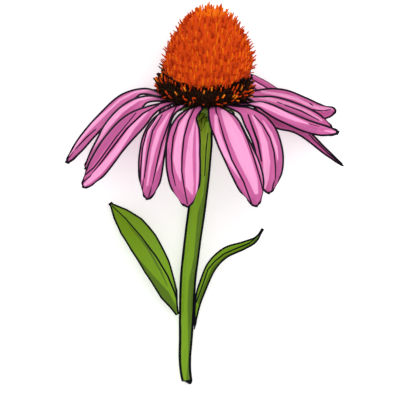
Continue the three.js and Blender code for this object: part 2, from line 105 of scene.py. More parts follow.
# Each petal: bearing of its base round the head, width, lift of its face to the sky, flare of its base on
# each side, the way of its middle as (across, down, height), then what the drawing shows on it. A crease
# is a pen line of (across, down, pen width), a light or a shade is a band of (across, down, band width).
# Across and down are places on the sheet, in its units.
PETALS = {
    "01": {
        "bearing": 99, "width": 14.6, "lift": 0.1, "flare": -0.15,
        "way": ((186.5, 119, 42.6), (183, 141, 49.6), (183, 166, 53.1), (185.5, 190, 53.7),
                (188, 207.5, 52.8)),
        "creases": (
            ((192.7, 106.5, 1), (179, 121.8, 1.3), (173.6, 137.8, 1.3), (171.7, 156.2, 1.3),
             (172.5, 171.5, 1.2), (175.9, 186, 0.4)),
            ((195.4, 107.2, 1), (188.9, 121, 1.3), (184.3, 137.8, 1.3), (182.4, 156.2, 1.3),
             (182, 171.5, 1.2), (184.3, 186.8, 1), (187.8, 204.4, 0.8)),
        ),
        "lights": (
            ((190.5, 110, 2), (182, 128, 6), (178.3, 146, 7), (177.3, 160, 7.4), (179, 172, 5),
             (181, 181, 1)),
            ((195.3, 120, 0.5), (191.3, 138, 4.4), (189.6, 156, 6.4), (189.2, 171, 8), (190, 186, 8),
             (192.6, 194, 1.5)),
            ((196.8, 122, 1), (197.6, 148, 2.4), (197.8, 170, 2.4), (197.2, 187, 2), (196.6, 196, 0.8)),
        ),
        "shades": (
            ((169, 150, 2), (169.5, 170, 4), (174, 188, 8), (184, 201, 9), (195, 200, 4)),
        ),
    },
    "02": {
        "bearing": 123, "width": 13, "lift": 0.2, "flare": -0.7,
        "way": ((167, 114.5, 38.6), (156, 131, 40), (151.3, 152, 42.8), (149, 176, 42.6),
                (147.5, 200, 40.8)),
        "creases": (
            ((169.8, 106.5, 1), (158.3, 115.7, 1.2), (147.6, 131, 1.2), (143, 148.6, 1.2),
             (141.1, 171.5, 1.1), (140.7, 189.9, 0.8)),
            ((162.9, 114.9, 0.6), (153, 131.7, 1.2), (148.4, 153.1, 1.2), (144.9, 177.6, 0.9),
             (144.2, 180.5, 0), (143.8, 183, 0.8), (142.2, 194.5, 0.9)),
            ((177.8, 104.6, 1), (171.3, 118, 1.2), (162.1, 144, 1.3), (157.5, 163.9, 1.2),
             (153.7, 181.5, 0.7), (152.6, 185.5, 0), (151.4, 189.5, 0.8), (149.1, 197.5, 0.9)),
        ),
        "lights": (
            ((158, 113, 1), (145.3, 127.5, 2.6), (140.2, 138, 2.6), (138.2, 152.4, 2.2), (138, 168, 1)),
            ((165, 109, 1), (151.6, 126, 2.8), (146.2, 141, 2.8), (144.2, 160, 2.4), (143, 179, 1.2)),
            ((169.8, 114.1, 1), (159.8, 131.7, 4.6), (154.6, 148.6, 4.4), (150.7, 167.7, 2.8),
             (148, 185.3, 1.6)),
            ((182, 106.5, 2), (172.8, 124.1, 2.4), (166, 144, 2.4), (160.6, 162.3, 2),
             (157.5, 171.5, 0.8)),
        ),
        "shades": (
            ((150, 188, 5), (148, 195, 8), (147.5, 200, 8)),
            ((168, 150, 1), (163, 165, 3.4), (157, 182, 3.6), (153, 192, 3)),
        ),
    },
    "03": {
        "bearing": 144, "width": 11.6, "lift": 0.5, "flare": -0.15,
        "way": ((148, 111.5, 32.7), (129.5, 125.5, 33.9), (113.5, 143, 33.4), (100.5, 161.5, 32.4),
                (83, 188, 30)),
        "creases": (
            ((136.5, 113.2, 0.5), (116.4, 137.8, 1), (101.7, 158.4, 1.1), (94.3, 167.9, 1.1),
             (84.4, 176, 1.1)),
            ((159.6, 105.2, 1.2), (142.8, 114.3, 1.4), (127.4, 129, 1.5), (110.5, 151, 1.4),
             (101.7, 162.8, 1.2), (94.3, 171.6, 0.5), (92.4, 174, 0), (90.7, 176.3, 0.9), (83, 182.6, 1)),
            ((159.6, 102.2, 1), (147.9, 104.8, 1.1), (141.3, 108.8, 0.5)),
        ),
        "lights": (
            ((148, 112.5, 1.5), (133.3, 127.5, 4.4), (118, 150, 6.2), (107, 163.5, 6), (99, 172.5, 6.6),
             (90.7, 180.6, 5), (85, 185.5, 2.4)),
            ((156.7, 101.4, 1.2), (138.4, 108.7, 2.6), (127.4, 115, 1)),
        ),
        "shades": (
            ((133, 114, 1.5), (117, 129.5, 8), (101.5, 148, 8), (91, 164.7, 5.5), (86, 173, 1.5)),
            ((149.4, 115.8, 1), (138.4, 132.7, 7), (121.5, 154.7, 5), (107.5, 172.8, 4.6), (92, 185, 3)),
        ),
    },
    "04": {
        "bearing": 162, "width": 12, "lift": 0.45, "flare": 0.1,
        "way": ((146, 99.5, 25.2), (126.5, 112, 23.7), (111.5, 128.5, 23.4), (100.5, 147, 21.1),
                (85, 169.5, 18.5)),
        "creases": (),
        "lights": (
            ((159.6, 96, 2.4), (138.4, 100.4, 3), (121.6, 111, 4.6), (106.6, 126.5, 6),
             (97, 140.8, 5.6), (90.5, 151, 3.4), (88.6, 155, 0.5)),
        ),
        "shades": (
            ((131, 108, 2), (113.5, 127, 2.6), (100.5, 144.5, 3), (91, 159.5, 6.5), (85.5, 166.5, 4)),
        ),
    },
    "05": {
        "bearing": 184, "width": 11, "lift": 0.35, "flare": 0.1,
        "way": ((142, 91, 16), (122, 99, 14.3), (101.5, 117.5, 11.9), (82, 139.5, 9.8), (65.5, 163, 7.4)),
        "creases": (
            ((96.5, 129, 0.8), (86.3, 137.8, 1.1), (76.4, 148.5, 0.7), (74.2, 151, 0),
             (72.3, 153.6, 0.5), (69.5, 157.6, 0.5)),
        ),
        "lights": (
            ((156.7, 89.6, 1.4), (135.4, 92.6, 2), (120.8, 100, 2.2), (109, 110.5, 2.4),
             (100.2, 118.4, 4), (87.4, 130.5, 4.6), (77, 143.2, 3.8), (70, 154.5, 1.6)),
        ),
        "shades": (
            ((140, 97, 2), (124, 104, 2.4), (112, 113, 3), (99, 126, 2), (84, 143, 2.4), (72, 158, 2)),
        ),
    },
    "06": {"bearing": 204, "width": 10.6, "lift": 0,
           "way": ((143, 103, 11), (125, 118, 7), (109, 138, 3.6), (98, 157, 0.9))},
    "07": {"bearing": 226, "width": 10.5, "lift": 0,
           "way": ((164, 108, 7.6), (158, 128, 4.6), (152, 150, 2.4), (150, 174, 0.9))},
    "08": {"bearing": 247, "width": 10, "lift": 0,
           "way": ((185, 74, 1.9), (184, 58, 0.6), (187, 42, 0.4), (196, 28, 1))},
    "09": {"bearing": 268, "width": 10, "lift": 0,
           "way": ((202, 98, 2), (197, 125, 1.2), (188, 152, 0.9), (187, 184, 0.9))},
    "10": {"bearing": 288, "width": 10, "lift": 0,
           "way": ((222, 74, 1.9), (229, 58, 0.6), (231, 42, 0.4), (226, 28, 1))},
    "11": {"bearing": 307, "width": 10.5, "lift": 0.5,
           "way": ((245, 80, 6), (259, 86.5, 4), (275, 96.5, 2.2), (291, 108, 1), (306, 119, 0.4))},
    "12": {
        "bearing": 328, "width": 8.6, "lift": 0.75,
        "way": ((262, 95.5, 10.3), (285, 98.5, 9.3), (303, 105.5, 8.1), (320, 111.5, 8.5),
                (337, 110, 9.9)),
        "creases": (
            ((309.8, 103, 0.8), (313.6, 105.6, 0.6)),
            ((310.7, 109.2, 0.6), (322.2, 110.6, 0.9), (324.4, 110.5, 0), (326, 110.3, 0.9),
             (331.8, 109.4, 0.6)),
        ),
        "lights": (
            ((262, 91.7, 2.4), (281, 94.4, 3.4), (296.4, 98.4, 3.6), (306, 103.4, 3), (319.4, 108, 3.6),
             (332.8, 108.6, 2.4)),
        ),
        "shades": (
            ((273, 97.5, 2), (290.7, 101, 3), (303, 107, 3), (316, 112.6, 3)),
        ),
    },
    "13": {
        "bearing": 348, "width": 9, "lift": 0.75,
        "way": ((265, 102.5, 16.7), (290, 110.5, 15.2), (312, 119.5, 13.6), (333, 130, 12.4)),
        "creases": (
            ((277, 102, 0.6), (281, 103.4, 0.6), (283, 104.2, 0), (285, 105, 0.8), (301.2, 110.8, 1.1),
             (319.4, 120.4, 0.5)),
            ((322.2, 124.2, 0.8), (326, 128, 0.8)),
        ),
        "lights": (
            ((252.4, 96, 3), (271.5, 99.6, 3.6), (290.7, 105, 3), (309.8, 112.9, 2.6), (322, 120.4, 1.6)),
        ),
        "shades": (
            ((266, 103.5, 3), (284, 109, 4.4), (302, 116.5, 4.4), (318, 124.5, 4)),
        ),
    },
    "14": {
        "bearing": 8, "width": 10.4, "lift": 0.75, "slim": True,
        "way": ((262, 108.5, 24.1), (282, 120, 23.4), (303, 131, 19.3), (325, 150, 15.7),
                (344, 166, 13.3)),
        "creases": (
            ((307.9, 133.8, 0.6), (311, 136.6, 0.8), (313.6, 139.5, 1), (329, 153.9, 1),
             (342.3, 164.4, 0.9)),
        ),
        "lights": (
            ((314.5, 137.6, 1), (330, 151.2, 2), (339.5, 160, 1.4)),
        ),
        "shades": (
            ((262, 115.6, 3), (276.3, 127, 10), (284, 131.9, 10), (294.5, 130, 6), (304, 133, 3)),
        ),
    },
    "15": {
        "bearing": 28, "width": 10.4, "lift": 0.2, "flare": -0.1,
        "way": ((262, 104.2, 31), (285, 115, 32.9), (310, 125.5, 32.3), (339, 132.5, 30.9)),
        "creases": (
            ((243.8, 103.6, 0.8), (258.1, 107.8, 0.7)),
            ((254, 101, 0.7), (268, 102.6, 1), (281, 107, 1), (292, 113, 0.7)),
            ((307.9, 124.4, 0.3), (319.3, 127.4, 0.3)),
        ),
        "lights": (
            ((241, 101.6, 2), (262, 105.6, 4.4), (281, 114, 5.4), (295.5, 120.6, 3.8), (308.8, 125.2, 1)),
            ((324, 131.5, 1), (331.8, 132.6, 2.6), (337.5, 133.4, 1.6)),
        ),
        "shades": (
            ((256, 109.4, 2), (276.3, 120.6, 2.6), (296.4, 128, 4), (314.6, 131, 5.4)),
        ),
    },
    "16": {
        "bearing": 49, "width": 13.4, "lift": 0.4, "flare": -0.1,
        "way": ((247.5, 112.5, 36.9), (262, 129, 39.9), (269.5, 150, 41.5), (271, 172, 41.3),
                (268, 194, 39.1)),
        "creases": (
            ((247.6, 115.1, 1), (252.4, 129, 1.6), (257.2, 142.4, 2), (261, 161.5, 1.2)),
            ((253.4, 115.6, 0.7), (262, 125.2, 1.2), (269.6, 138.6, 1.2), (273.4, 152, 1.2),
             (274.9, 166.3, 1.1), (274.9, 177.8, 0.6), (274.4, 180, 0), (273.4, 182.6, 0.9),
             (271.5, 189.3, 0.9)),
        ),
        "lights": (
            ((252, 116.5, 1.6), (258.7, 129, 4.4), (263.7, 144, 6.4), (266, 162, 7), (265.4, 178, 5.6),
             (264, 188, 2)),
            ((262.6, 121.6, 1), (270.6, 134.4, 2.6), (275.4, 148, 3), (277.2, 160, 1.2)),
        ),
        "shades": (
            ((269, 127, 2), (278.6, 140, 4.4), (281, 157, 7), (279, 172, 7), (273.6, 186, 6)),
        ),
    },
    "17": {
        "bearing": 74, "width": 15, "lift": 0, "flare": 1.5,
        "way": ((224, 121, 43.6), (235.4, 145, 50.1), (246.7, 170, 51.4), (254, 191, 50.3),
                (256, 207, 48.6)),
        "creases": (
            ((215.6, 107, 1.1), (216, 112.7, 1.1), (218, 116.6, 0.4), (218.2, 117.8, 0),
             (218.6, 119.6, 0.8), (223.7, 138.6, 1.3), (231.4, 160.6, 1.3), (242.8, 181.6, 1.3),
             (251, 203.6, 1.1)),
            ((239, 123.3, 0.6), (246.7, 139.5, 1.2), (253.4, 158.7, 1.3), (259.1, 177.8, 1.2),
             (262.4, 191.2, 0.9)),
            ((224.7, 105.6, 0.9), (230, 112, 1.1), (235.2, 118.5, 0.4)),
        ),
        "lights": (
            ((215.4, 117, 3), (216.8, 132.8, 4.6), (222.5, 150, 5.6), (232.3, 167.3, 3.4),
             (239, 178.8, 0.8)),
            ((223, 112.5, 5), (228.6, 123.3, 10), (235.6, 138.6, 14), (244.4, 160.6, 13),
             (252.2, 180, 9), (255.3, 192, 4.4)),
            ((246.6, 131, 2), (255, 154, 2.8), (260.4, 171, 1.8), (263.6, 185.5, 1.2)),
        ),
        "shades": (
            ((211, 118.5, 3), (211.7, 138.6, 3.6), (218, 157.7, 3.6), (228.5, 175, 4), (241, 193, 4.4),
             (252, 203, 8)),
            ((221, 106, 5), (223, 108.5, 6)),
        ),
    },
}

# Stem: (across, down, radius). Its height climbs from the cut end to the cup.
STEM_WAY = ((187, 382.5, 2.1), (185.4, 372, 2.4), (184.8, 358, 2.65), (185.7, 340, 2.95), (186.6, 315, 3.1),
            (188, 280, 3.2), (190.6, 256, 3.35), (193.6, 232, 3.4), (196.9, 208, 3.5), (200, 180, 3.55),
            (202, 155, 3.65), (203, 143, 3.75))
# The climb would end this far down the drawing. It starts at the foot's height, and has an even part and
# one that sweeps up.
STEM_TOP_DOWN = 130
STEM_FOOT_Z, STEM_CLIMB, STEM_SWEEP = 1.95, 5.9, 9.6
# The stem ends at this level of the head's axis, which it joins a neck below.
STEM_TOP_LEVEL, STEM_NECK = -9.4, 6
# Ribs round the stem, their depth as a share of its radius, and the slant and notches of its cut end.
STEM_RIBS, STEM_RIB_DEPTH = 10, 0.05
STEM_CUT_SLANT, STEM_CUT_NOTCH = 0.9, 0.35
# From how far down the drawing painted light makes the stem paler upwards, and over how many units.
STEM_PAINTED_LIGHT_FROM, STEM_PAINTED_LIGHT_RUN = 200, 60
STEM_CREASES = (
    ((210.3, 111, 0.5), (204, 124, 0.5)),
    ((208, 132, 0.6), (206.2, 148.6, 0.8), (204.6, 176.9, 0.4)),
)
# Right of this line, as (across, down), the stem is shaded.
STEM_SHADE = ((209.5, 111), (208, 141), (203.5, 194.5), (197.6, 213.7), (193.9, 257), (188.6, 282),
              (187.3, 307), (187.9, 332), (188, 357), (186.5, 378))

# Leaves: the way as for a petal, the outline from base to tip, and their drawn midribs and shades. The
# level is how much of the fold lies under the leaf's middle, and the taper how soon its root widens.
LEAF_FOLD_LEVEL = 0.5
LEAF_BASE_TAPER = 0.06
LEAVES = {
    "left": {
        "width": 12.4, "fold": 1.5, "base_half": 0.9, "up": (0.2, 0.2, 1),
        "way": ((177.2, 315, 5.7), (168, 293, 8.4), (155.7, 265.7, 10.2), (137.4, 235.2, 9),
                (109.5, 203, 4.2)),
        "outline": ((0, 0.12), (0.08, 0.32), (0.17, 0.62), (0.4, 0.93), (0.6, 1), (0.75, 0.9),
                    (0.88, 0.56), (1, 0.06)),
        "creases": (
            ((111.8, 206.2, 0.7), (124.9, 218.6, 0.9), (141, 237.3, 1.2), (156, 257.2, 1.4),
             (167.2, 275.8, 1.4), (174.6, 293.3, 1.4), (179.6, 310.7, 1.4)),
        ),
        "shades": (
            ((112.8, 213.7, 1.6), (118, 232.3, 2), (133.6, 254.7, 2), (148.8, 275.6, 6), (163, 297, 14),
             (173, 309.4, 8)),
            ((127, 223.6, 0.6), (147.6, 249, 2.2), (160.4, 271.6, 2.2), (167, 286.4, 1)),
            ((173.6, 285, 1), (176.8, 294, 3), (179.6, 303, 3)),
        ),
    },
    "right": {
        "width": 4.6, "fold": 1.9, "base_half": 0.6, "up": (-0.35, 0.1, 1),
        "way": ((194.4, 330, 5), (198.6, 302, 8.2), (204.8, 283, 10), (213.4, 265, 11.8),
                (226, 253, 13), (244.5, 245.6, 14), (256, 239.6, 15), (263, 229, 16.6)),
        "outline": ((0, 0), (0.12, 0.4), (0.3, 0.86), (0.5, 1), (0.7, 0.96), (0.86, 0.66), (1, 0.08)),
        "creases": (
            ((195.2, 305.7, 0.9), (203.2, 284.6, 1), (208.2, 269.6, 1), (215.7, 260.9, 1),
             (224.4, 254, 1), (236.8, 248.5, 1), (249.3, 243.5, 1), (256.7, 237.3, 0.6)),
        ),
        "shades": (
            ((199.5, 302, 4.4), (207, 284.6, 4), (214.4, 268.4, 4), (226.9, 257.6, 4.4),
             (243, 251.4, 4.6), (253, 244.8, 3), (260.4, 233, 3)),
        ),
    },
}

# A distance that no line or band of the drawing reaches.
FAR = 50.0

# A crease narrower than this is a gap in its line, and the half width that hides it there. A crease whose
# half width is at least the last value is pressed in to its full depth.
PEN_LIFTED_UNDER, NO_PEN = 0.02, -0.2
FULL_GROOVE_PEN = 0.2


def linear(code):
    """An sRGB hex colour as linear red, green, blue and full alpha."""
    parts = [int(code[i:i + 2], 16) / 255 for i in (1, 3, 5)]
    return tuple(c / 12.92 if c <= 0.04045 else ((c + 0.055) / 1.055) ** 2.4 for c in parts) + (1.0,)


def colour(name, code, description):
    """A colour property with an sRGB hex default."""
    return FloatVectorProperty(name=name, description=description, subtype="COLOR", size=4, min=0, max=1,
                               default=linear(code))


def size(name, value, description):
    """A length property, from a default in millimetres."""
    return FloatProperty(name=name, description=description, default=value * MM, min=0, precision=5,
                         subtype="DISTANCE", unit="LENGTH")


def mm(length):
    """A length property's value in millimetres."""
    return length / MM


# Geometry of ways, blades and turned forms

def smoothstep(x, low, high):
    """Nought at low, one at high, and eased between them."""
    share = np.clip((x - low) / (high - low), 0, 1)
    return share * share * (3 - 2 * share)


def eased_at(xs, ys, x):
    """A table read with a smooth swing from each entry to the next."""
    xs, ys, x = np.array(xs, float), np.array(ys, float), np.asarray(x, float)
    low = np.clip(np.searchsorted(xs, x, side="right") - 1, 0, len(xs) - 2)
    share = smoothstep(x, xs[low], xs[low + 1])
    return ys[low] + share * (ys[low + 1] - ys[low])


def drawn(across, down, height):
    """A place on the drawing, with its height, as a point of the part."""
    flat = [(across - MIDDLE[0]) * UNIT, (MIDDLE[1] - down) * UNIT, height]
    return np.array(flat) + DRAWING_SHIFT


def on_sheet(points):
    """Where points of the part lie on the drawing, across and down."""
    back = points - DRAWING_SHIFT
    return np.stack([back[..., 0] / UNIT + MIDDLE[0], MIDDLE[1] - back[..., 1] / UNIT], axis=-1)


def on_head(radius, bearing, height):
    """Points about the head's axis, from radius, bearing in degrees and height up the axis."""
    turn = np.radians(bearing)
    radius, height = np.asarray(radius, float), np.asarray(height, float)
    side = (radius * np.cos(turn))[..., None] * HEAD_RIGHT
    front = (radius * np.sin(turn))[..., None] * HEAD_FRONT
    return HEAD_AT + side + front + height[..., None] * HEAD_UP


def curve_through(points, samples=480):
    """A centripetal curve through the points, as even samples of its parameter."""
    given = np.array(points, float)
    ends = np.vstack([2 * given[0] - given[1], given, 2 * given[-1] - given[-2]])
    spans = len(given) - 1
    out = []
    for u in np.linspace(0, spans, samples + 1):
        i = min(int(u), spans - 1)
        w = u - i
        a, b, c, d = ends[i:i + 4]
        first, second, third = (np.sum((q - p) ** 2) ** 0.25 for p, q in ((a, b), (b, c), (c, d)))
        leave = ((b - a) / first - (c - a) / (first + second) + (c - b) / second) * second
        reach = ((c - b) / second - (d - b) / (second + third) + (d - c) / third) * second
        out.append(b + leave * w + (3 * (c - b) - 2 * leave - reach) * w ** 2
                   + (2 * (b - c) + leave + reach) * w ** 3)
    return np.array(out)


class Way:
    """A curve with an upper side carried along it without twisting, then lifted to the sky by a share."""

    STEPS = 160
    LIFT_RUN = (0.05, 0.4)

    def __init__(self, points, upper, lift=0.0):
        samples = curve_through(points)
        gone = np.concatenate([[0], np.cumsum(np.linalg.norm(np.diff(samples, axis=0), axis=1))])
        self.length = gone[-1]
        self.shares = np.linspace(0, 1, self.STEPS + 1)
        at = np.stack([np.interp(self.shares * self.length, gone, samples[:, k]) for k in range(3)], axis=1)
        along = np.gradient(at, axis=0)
        along /= np.linalg.norm(along, axis=1)[:, None]
        up = np.array(upper, float)
        ups = []
        for share, tangent in zip(self.shares, along):
            up = up - tangent * up.dot(tangent)
            up /= np.linalg.norm(up)
            sky = np.array([0, 0, 1.0]) - tangent * tangent[2]
            sky /= np.linalg.norm(sky)
            blend = lift * smoothstep(share, *self.LIFT_RUN)
            ups.append(up * (1 - blend) + sky * blend)
        ups = np.array(ups)
        ups /= np.linalg.norm(ups, axis=1)[:, None]
        self.tables = {"at": at, "up": ups, "side": np.cross(along, ups)}

    def read(self, name, share):
        """Its place ("at"), upper side ("up") or right-hand side ("side") at shares of its length."""
        table = self.tables[name]
        found = np.stack([np.interp(share, self.shares, table[:, k]) for k in range(3)], axis=-1)
        if name != "at":
            found /= np.linalg.norm(found, axis=-1)[..., None]
        return found


def nearest_on(path, sheet_points):
    """Signed distance to a drawn path in millimetres, its third value there, and how far past its ends."""
    path = np.array(path, float)
    flat = sheet_points.reshape(-1, 2)
    best = np.full(len(flat), 1e9)
    signed, value, beyond = np.zeros(len(flat)), np.zeros(len(flat)), np.zeros(len(flat))
    last = len(path) - 2
    for i in range(last + 1):
        start, step = path[i, :2], path[i + 1, :2] - path[i, :2]
        away = flat - start
        raw = away @ step / (step @ step)
        share = np.clip(raw, 0, 1)
        gap = away - share[:, None] * step
        far = np.hypot(gap[:, 0], gap[:, 1])
        closer = far < best
        side = np.where(step[0] * away[:, 1] - step[1] * away[:, 0] < 0, -1.0, 1.0)
        past = np.zeros(len(flat))
        if i == 0:
            past = np.maximum(past, -raw)
        if i == last:
            past = np.maximum(past, raw - 1)
        best = np.where(closer, far, best)
        signed = np.where(closer, side * far, signed)
        value = np.where(closer, path[i, 2] + share * (path[i + 1, 2] - path[i, 2]), value)
        beyond = np.where(closer, past * np.hypot(*step), beyond)
    shape = sheet_points.shape[:-1]
    return [x.reshape(shape) * UNIT for x in (signed, value, beyond)]


def band_depth(bands, sheet_points):
    """How deep a point lies inside the nearest band, in millimetres, negative outside."""
    depth = np.full(sheet_points.shape[:-1], -FAR)
    for band in bands:
        signed, width = nearest_on(band, sheet_points)[:2]
        depth = np.maximum(depth, width / 2 - np.abs(signed))
    return depth


def no_lines(shape):
    """Distances and pen widths of a face without creases."""
    return np.full(shape + (3,), FAR), np.zeros(shape + (3,))


def pen_lines(creases, sheet_points):
    """Signed distance and half pen width for up to three creases, in millimetres."""
    distances, pens = no_lines(sheet_points.shape[:-1])
    for k, crease in enumerate(creases):
        signed, width, beyond = nearest_on(crease, sheet_points)
        distances[..., k] = signed
        pens[..., k] = np.where(width > PEN_LIFTED_UNDER, width / 2, NO_PEN) - beyond
    return distances, pens


def sunk(distances, pens, depth, spread):
    """The groove that the creases press into a face."""
    weight = np.clip(pens / FULL_GROOVE_PEN, 0, 1)
    return -depth * np.max(np.exp(-(distances / spread) ** 2) * weight, axis=-1)


def mesh_object(name, points, faces, attributes=None):
    """A smooth mesh object from points in millimetres."""
    mesh = bpy.data.meshes.new(name)
    mesh.from_pydata((points.reshape(-1, 3) * MM).tolist(), [], faces)
    for key, values in (attributes or {}).items():
        layer = mesh.attributes.new(key, "FLOAT_VECTOR", "POINT")
        layer.data.foreach_set("vector", np.asarray(values, np.float32).reshape(-1))
    mesh.validate()
    mesh.shade_smooth()
    obj = bpy.data.objects.new(name, mesh)
    bpy.context.scene.collection.objects.link(obj)
    return obj


def grid_faces(rows, across):
    """Faces of a closed blade: an upper grid, the same grid below, and its rim."""
    below = rows * across
    faces = []
    for i in range(rows - 1):
        for j in range(across - 1):
            a = i * across + j
            b = a + below
            faces.append((a, a + 1, a + across + 1, a + across))
            faces.append((b, b + across, b + across + 1, b + 1))
        left = i * across
        right = left + across - 1
        faces.append((left, left + across, left + across + below, left + below))
        faces.append((right + across, right, right + below, right + across + below))
    last = (rows - 1) * across
    for j in range(across - 1):
        faces.append((j + 1, j, j + below, j + 1 + below))
        faces.append((last + j, last + j + 1, last + j + 1 + below, last + j + below))
    return faces


# A rim seen from above is never laid over more of the face than this allows.
RIM_LEAST_SHARE = 0.25
# Steps between two rows when an outline is measured.
OUTLINE_STEPS = 5
# Where the outline doubles back near a tip, the distance straight to the side counts by this much.
SIDE_SHARE = 0.65
# A blade's edge has this share of its full thickness, and the power sets how late the blade thins.
EDGE_THIN, EDGE_THINS_LATE = 0.4, 6


class Blade:
    """A thin leaf-like sheet along a way, with what is drawn on it laid on both its faces."""

    def __init__(self, way, half, relief, end, rows, columns, thick):
        self.rows, self.columns, self.thick = rows, columns, thick
        share, across = np.meshgrid(np.linspace(0, 1, rows), np.linspace(-1, 1, columns), indexing="ij")
        self.share, self.across, self.way = share, across, way
        placed = share * end(across)
        self.half = half(share)
        self.up = way.read("up", placed)
        side = way.read("side", placed)
        self.middle = way.read("at", placed) + side * (across * self.half)[..., None]
        self.middle += self.up * relief(share, across)[..., None]
        self.sheet = on_sheet(self.middle)
        self.edge = np.minimum((1 - np.abs(across)) * self.half, (1 - share) * way.length)

    def press(self, groove):
        """Moves the sheet by the depth of its grooves."""
        self.middle += self.up * groove[..., None]

    def reach_from_above(self, faces):
        """How far each face's points lie to the side of the blade's middle line, seen from above."""
        middle = self.middle[:, self.columns // 2, :2]
        along = np.gradient(middle, axis=0)
        along /= np.linalg.norm(along, axis=1)[:, None]
        aside = np.stack([-along[:, 1], along[:, 0]], axis=1)
        return np.concatenate([np.einsum("ijk,ik->ij", face[..., :2] - middle[:, None], aside)
                               for face in faces], axis=1)

    def outline_from_above(self, both, reach):
        """Close-set points on the outline: the outermost point of each row, and the row at the tip."""
        rows = np.arange(self.rows)
        low, high = both[rows, reach.argmin(1)], both[rows, reach.argmax(1)]
        corners = np.concatenate([low, self.middle[-1, :, :2], high[::-1]])
        places = np.linspace(0, len(corners) - 1, OUTLINE_STEPS * len(corners))
        return np.stack([np.interp(places, np.arange(len(corners)), axis) for axis in corners.T], axis=1)

    def rims_from_above(self, faces):
        """Each face's distance to the outline that the whole blade has from above."""
        both = np.concatenate([face[..., :2] for face in faces], axis=1)
        reach = self.reach_from_above(faces)
        outline = self.outline_from_above(both, reach)
        gaps = np.stack([np.linalg.norm(row[:, None] - outline, axis=-1).min(1) for row in both])
        to_side = np.minimum(reach - reach.min(1)[:, None], reach.max(1)[:, None] - reach)
        tips = np.concatenate([face[-1, :, :2] for face in faces])
        seen = np.minimum(to_side, np.linalg.norm(both - tips, axis=-1))
        seen = np.maximum(gaps, SIDE_SHARE * seen)
        return [np.maximum(rim, RIM_LEAST_SHARE * self.edge) for rim in np.split(seen, 2, axis=1)]

    def faces(self):
        """The points of the upper and the lower face, with nothing under the floor."""
        rounding = EDGE_THIN + (1 - EDGE_THIN) * np.sqrt(1 - np.abs(self.across) ** EDGE_THINS_LATE)
        offset = self.up * (self.thick / 2 * rounding)[..., None]
        over, under = self.middle + offset, self.middle - offset
        lowest = np.minimum(0, np.minimum(over[..., 2].min(1), under[..., 2].min(1)))
        over[..., 2] -= lowest[:, None]
        under[..., 2] -= lowest[:, None]
        return over, under

    def object(self, name, distances, pens, light, shade, drawn_from_above=False):
        """The finished sheet as a mesh object that carries what is drawn on it."""
        over, under = self.faces()
        rims = self.rims_from_above((over, under)) if drawn_from_above else (self.edge, self.edge)
        grain = np.stack([self.across * self.half, self.share * self.way.length, self.share], axis=-1)
        both = {key: np.stack([value, value]) for key, value in
                {"crease": distances, "pen": pens, "grain": grain}.items()}
        both["tone"] = np.stack([np.stack([light, shade, rim], axis=-1) for rim in rims])
        return mesh_object(name, np.stack([over, under]), grid_faces(self.rows, self.columns), both)


# Rings at a pole keep this radius, so that their faces stay sound.
LEAST_RADIUS = 0.02


def turned_points(profile, sides, sway):
    """Rings about the head's axis, from (height, radius) pairs."""
    heights, radii = np.array(profile, float).T
    bearings = np.linspace(0, 360, sides, endpoint=False)
    rings = on_head(radii[:, None] * np.ones(sides), bearings[None, :], heights[:, None] * np.ones(sides))
    return rings + sway(heights)[:, None, None] * HEAD_RIGHT


def turned_faces(rings, sides):
    """Faces between rings that run up the axis, closed by a fan at each end."""
    faces = []
    for i in range(rings - 1):
        for k in range(sides):
            after = (k + 1) % sides
            low, high = i * sides, (i + 1) * sides
            faces.append((low + k, high + k, high + after, low + after))
    faces.append(tuple(range(sides)))
    faces.append(tuple(reversed(range((rings - 1) * sides, rings * sides))))
    return faces


def smooth_profile(profile, samples):
    """The profile's rings, finer, with its flat ends kept as they are."""
    inner = curve_through([(h, r, 0) for h, r in profile], samples)
    return [(h, max(r, LEAST_RADIUS)) for h, r, _ in inner]


def cone_sway(height):
    """How far the cone leans to one side at a height, with a further nod at its top."""
    nod = np.maximum(0, (np.asarray(height, float) - CONE_NOD_FROM) / CONE_NOD_RUN)
    return CONE_SWAY * smoothstep(height, CONE_PROFILE[0][0], CONE_SWAY_DONE) + CONE_NOD * nod ** 2


def no_sway(height):
    """The sway of a form that stands straight on the axis."""
    return np.zeros(len(height))


# Nodes

MATH, VECTOR_MATH, MIX = "ShaderNodeMath", "ShaderNodeVectorMath", "ShaderNodeMix"
NOISE, MAPPING, PLACE = "ShaderNodeTexNoise", "ShaderNodeMapping", "ShaderNodeTexCoord"
STORED, RANDOM = "ShaderNodeAttribute", "FunctionNodeRandomValue"
SPLIT, JOIN = "ShaderNodeSeparateXYZ", "ShaderNodeCombineXYZ"

# A map range node runs from nought at its low value to one at its high value, eased by this setting.
RANGE = "ShaderNodeMapRange"
EASED = {"interpolation_type": "SMOOTHSTEP"}

# The dark rim of a blade: how often its width wavers, by how many millimetres, and how softly it and
# a crease end.
RIM_WAVES_PER_MM, RIM_STRETCH, RIM_WAVER, RIM_SOFT, PEN_SOFT = 0.7, 3.0, 0.22, 0.09, 0.16
# How far light runs through petals and leaves, in millimetres.
SOFT_REACH = 0.4


def add(tree, kind, *values, named=None, take=0, **settings):
    """Adds a node with its settings, and with a value or a link for each input, in order or by name.
    It hands back the output to take, or the node itself where there is none to take."""
    made = tree.nodes.new(kind)
    for key, value in settings.items():
        setattr(made, key, value)
    for key, value in {**dict(enumerate(values)), **(named or {})}.items():
        if isinstance(value, bpy.types.NodeSocket):
            tree.links.new(value, made.inputs[key])
        else:
            made.inputs[key].default_value = value
    return made if take is None else made.outputs[take]


def coated(tree, base, *coats):
    """A colour with others laid over it in order, each by its own share."""
    for share, tone in coats:
        base = add(tree, MIX, share, named={6: base, 7: tone}, take=2, data_type="RGBA")
    return base


